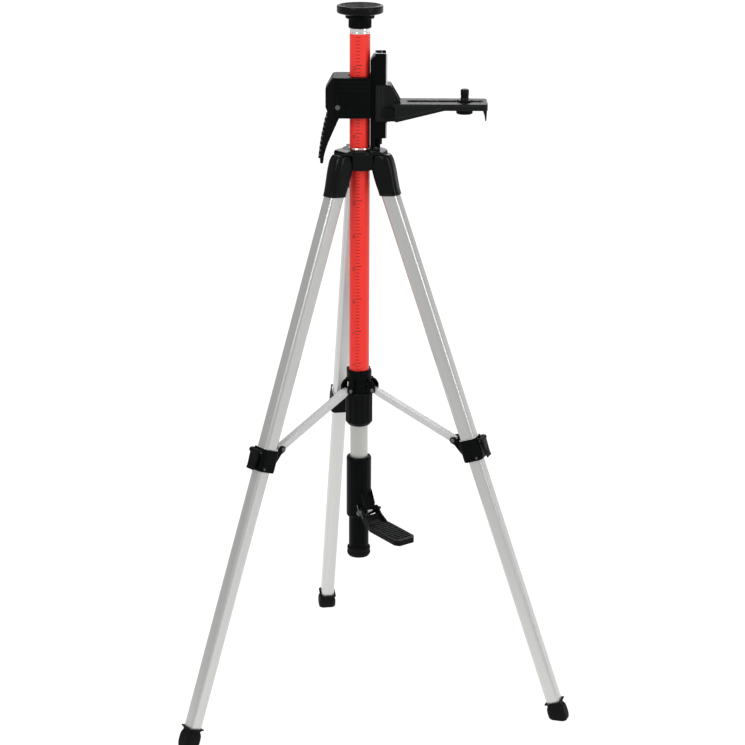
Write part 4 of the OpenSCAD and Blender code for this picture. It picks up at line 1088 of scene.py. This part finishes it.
def build_lock_lever(i, m):
    """A curved plate with finger ridges."""
    grip = Stock("grip", m)
    side = rounded([(18.2, -430.6), (21.8, -430.7), (23.2, -434), (22.6, -446), (22.0, -456),
                    (22.9, -461.8), (21.5, -462.4), (20.0, -456), (18.6, -446), (18.2, -438)],
                   [2, 2, 2, 8, 4, 0.8, 0.8, 4, 6, 2], 4)
    lever = grip.prism(side, -8.7, 8.7, 0.6)
    ribs = [grip.block((22.0, 23.1), (-7.4, 7.4), (-s - 0.55, -s + 0.55), 0.3) for s in (450, 453, 456)]
    give(join(lever, *ribs), f"lock_lever_plate_{i}", f"lock_lever_{i}", f"lock_lever_{i}")


def level_with_floor(o):
    """Cuts off what lies below the floor and closes the cut."""
    inv = o.matrix_world.inverted()
    bm = bmesh.new()
    bm.from_mesh(o.data)
    whole = bm.verts[:] + bm.edges[:] + bm.faces[:]
    found = bmesh.ops.bisect_plane(bm, geom=whole, plane_co=inv.translation,
                                   plane_no=inv.to_3x3() @ Vector((0, 0, -1)), clear_outer=True)
    rim = [e for e in found["geom_cut"] if isinstance(e, bmesh.types.BMEdge)]
    bmesh.ops.edgenet_fill(bm, edges=rim)
    bmesh.ops.recalc_face_normals(bm, faces=bm.faces)
    bm.to_mesh(o.data)
    bm.free()
    settle(o)


def build_leg_foot(i, m):
    """A square socket that turns into a round rubber toe, flat on the floor."""
    rings = [square_ring(w, r, s, 9) for w, r, s in ((20.9, 4.4, 861.0), (26.5, 4.2, 860.4),
                                                     (27.0, 4.0, 860.9), (26.8, 4.2, 861.6),
                                                     (23.6, 6, 863.0), (23.0, 7, 864.4))]
    angles = [math.atan2(y, x) for x, y, _ in rings[0]]
    half = 11.5
    toe = ((12.4, 865.4), (13.6, 866.6), (14.6, 868.4), (15.4, 871), (15.9, 875), (16.0, 880), (15.8, 885),
           (15.2, 889), (14.2, 892), (12.6, 894), (10, 895.4), (5, 896))
    for r, s in toe:
        k = min(1.0, (s - 864.4) / 5.0)
        ring = []
        for a in angles:
            square = half / max(abs(math.cos(a)), abs(math.sin(a)))
            q = r * k + min(square, half * 1.12) * (1 - k)
            ring.append((q * math.cos(a), q * math.sin(a), -s))
        rings.append(ring)
    foot = Stock("rubber", m).loft(rings)
    level_with_floor(foot)
    foot.data.transform(foot.matrix_world)
    foot.matrix_world = Matrix.Identity(4)
    give(foot, f"leg_foot_rubber_{i}", f"lower_leg_{i}", f"leg_foot_{i}")


def build_brace(i):
    """A channel with rolled edges, from its pin on the leg to the pivot on the collar."""
    x, y, z = Vector(JOINTS[f"brace_hinge_{i}"]["pos_m"]) / MM
    pin_r = math.hypot(x, y)
    run, rise = pin_r - COLLAR_PIN_R, COLLAR_PIN_Z - z
    place = (Matrix.Rotation(math.atan2(y, x), 4, "Z") @ at(pin_r, 0, z)
             @ Matrix.Rotation(math.atan2(rise, run), 4, "Y") @ Matrix.Rotation(math.pi, 4, "Z"))
    strip = Stock("strip", place)
    tip = math.hypot(run, rise) + 2.2
    h = 4.3
    prof = [(-6, -h), (-6, h - 0.7), (-5.8, h - 0.2), (-5.3, h), (5.3, h), (5.8, h - 0.2), (6, h - 0.7),
            (6, -h), (5.0, -h), (5.0, h - 1.3), (4.7, h - 1.0), (-4.7, h - 1.0), (-5.0, h - 1.3),
            (-5.0, -h)]

    def section(x, low=0.0, high=0.0):
        return [(x, y, max(-h + low, min(h - high, z))) for y, z in prof]
    stations = [(-3.2, 2.0, 1.6), (-2.4, 1.0, 0.8), (-1.2, 0.3, 0.2), (0,), (14,), (30,), (60,), (90,),
                (tip - 14,), (tip - 8, 0.6, 0.2), (tip - 3, 2.1, 1.7), (tip, 2.6, 2.3)]
    brace = strip.loft([section(*v) for v in stations])
    parts = [strip.rod((0, sd * 5.9, 0), 2.7, 0.6, 24, 0.2) for sd in SIDES]
    parts += [strip.block((x - 4, x + 4), (-2.0, 2.0), (h - 0.1, h + 0.22), 0.2) for x in (20, tip - 20)]
    give(join(brace, *parts), f"brace_channel_{i}", f"brace_{i}", f"brace_{i}")


def build_leg(i):
    m = leg_matrix(i)
    alu = Stock("alu", m)
    build_leg_cap(i, m)
    give(alu.square_tube(23.5, 5.6, 1.2, 16.5, 452), f"upper_leg_tube_{i}", f"leg_{i}", f"upper_leg_{i}")
    build_leg_lock(i, m)
    build_lock_lever(i, m)
    give(alu.square_tube(20.5, 4.3, 1.2, 400, 871.5), f"lower_leg_tube_{i}", f"lower_leg_{i}",
         f"lower_leg_{i}")
    build_leg_foot(i, m)
    build_brace(i)


def build_collar():
    """The ring that slides on the pole and carries the braces, with three pairs of ears."""
    ring = [(15.08, 508.9), (17.2, 508.9), (18.3, 509.3), (18.9, 510.2), (18.9, 513.6), (18.5, 514.0),
            (18.5, 514.8), (18.9, 515.2), (18.9, 521.4), (18.3, 523.0), (17.0, 524), (15.5, 524),
            (15.08, 523.6)]
    ear = rounded([(17.4, 509), (17.4, 490.8), (21, 489.8), (28.6, 489.8), (28.6, 501.5), (25, 507),
                   (20.4, 510)], [0, 1.5, 3, 4.6, 5.5, 5, 2], 6)
    horn = rounded([(16.4, 516), (19.3, 516), (19.3, 524.6), (18.2, 525.4), (16.6, 524)],
                   [0, 0.5, 1.0, 0.8, 0])
    dome = [(0, 0), (3.2, 0), (3.1, 0.3), (2.5, 0.95), (1.5, 1.3), (0, 1.4)]
    collar = Stock("black").turned(ring, closed=True)
    parts, heads = [], []
    for i in LEGS:
        m = towards_leg(i)
        black = Stock("black", m)
        for sd in SIDES:
            parts.append(black.prism(ear, *span(sd, EAR_NEAR, EAR_FAR), 0.6))
            parts.append(black.rod((COLLAR_PIN_R, sd * 9.1, COLLAR_PIN_Z), 4.4, 0.9, 32, 0.3))
            heads.append(screw_head(m, (COLLAR_PIN_R, sd * 9.5, COLLAR_PIN_Z), sd, dome))
        parts.append(black.block((16.8, 19.8), (-9, 9), (506.0, 512), 0.8))
        parts.append(Stock("black", towards_leg(i, SIXTH)).prism(horn, -3.4, 3.4))
    give(join(collar, *parts), "brace_collar_ring", "collar", "brace_collar")
    give(join(*heads), "collar_rivet_heads", "collar", "collar_rivets")


build_hub()
for leg in LEGS:
    build_leg(leg)
build_collar()
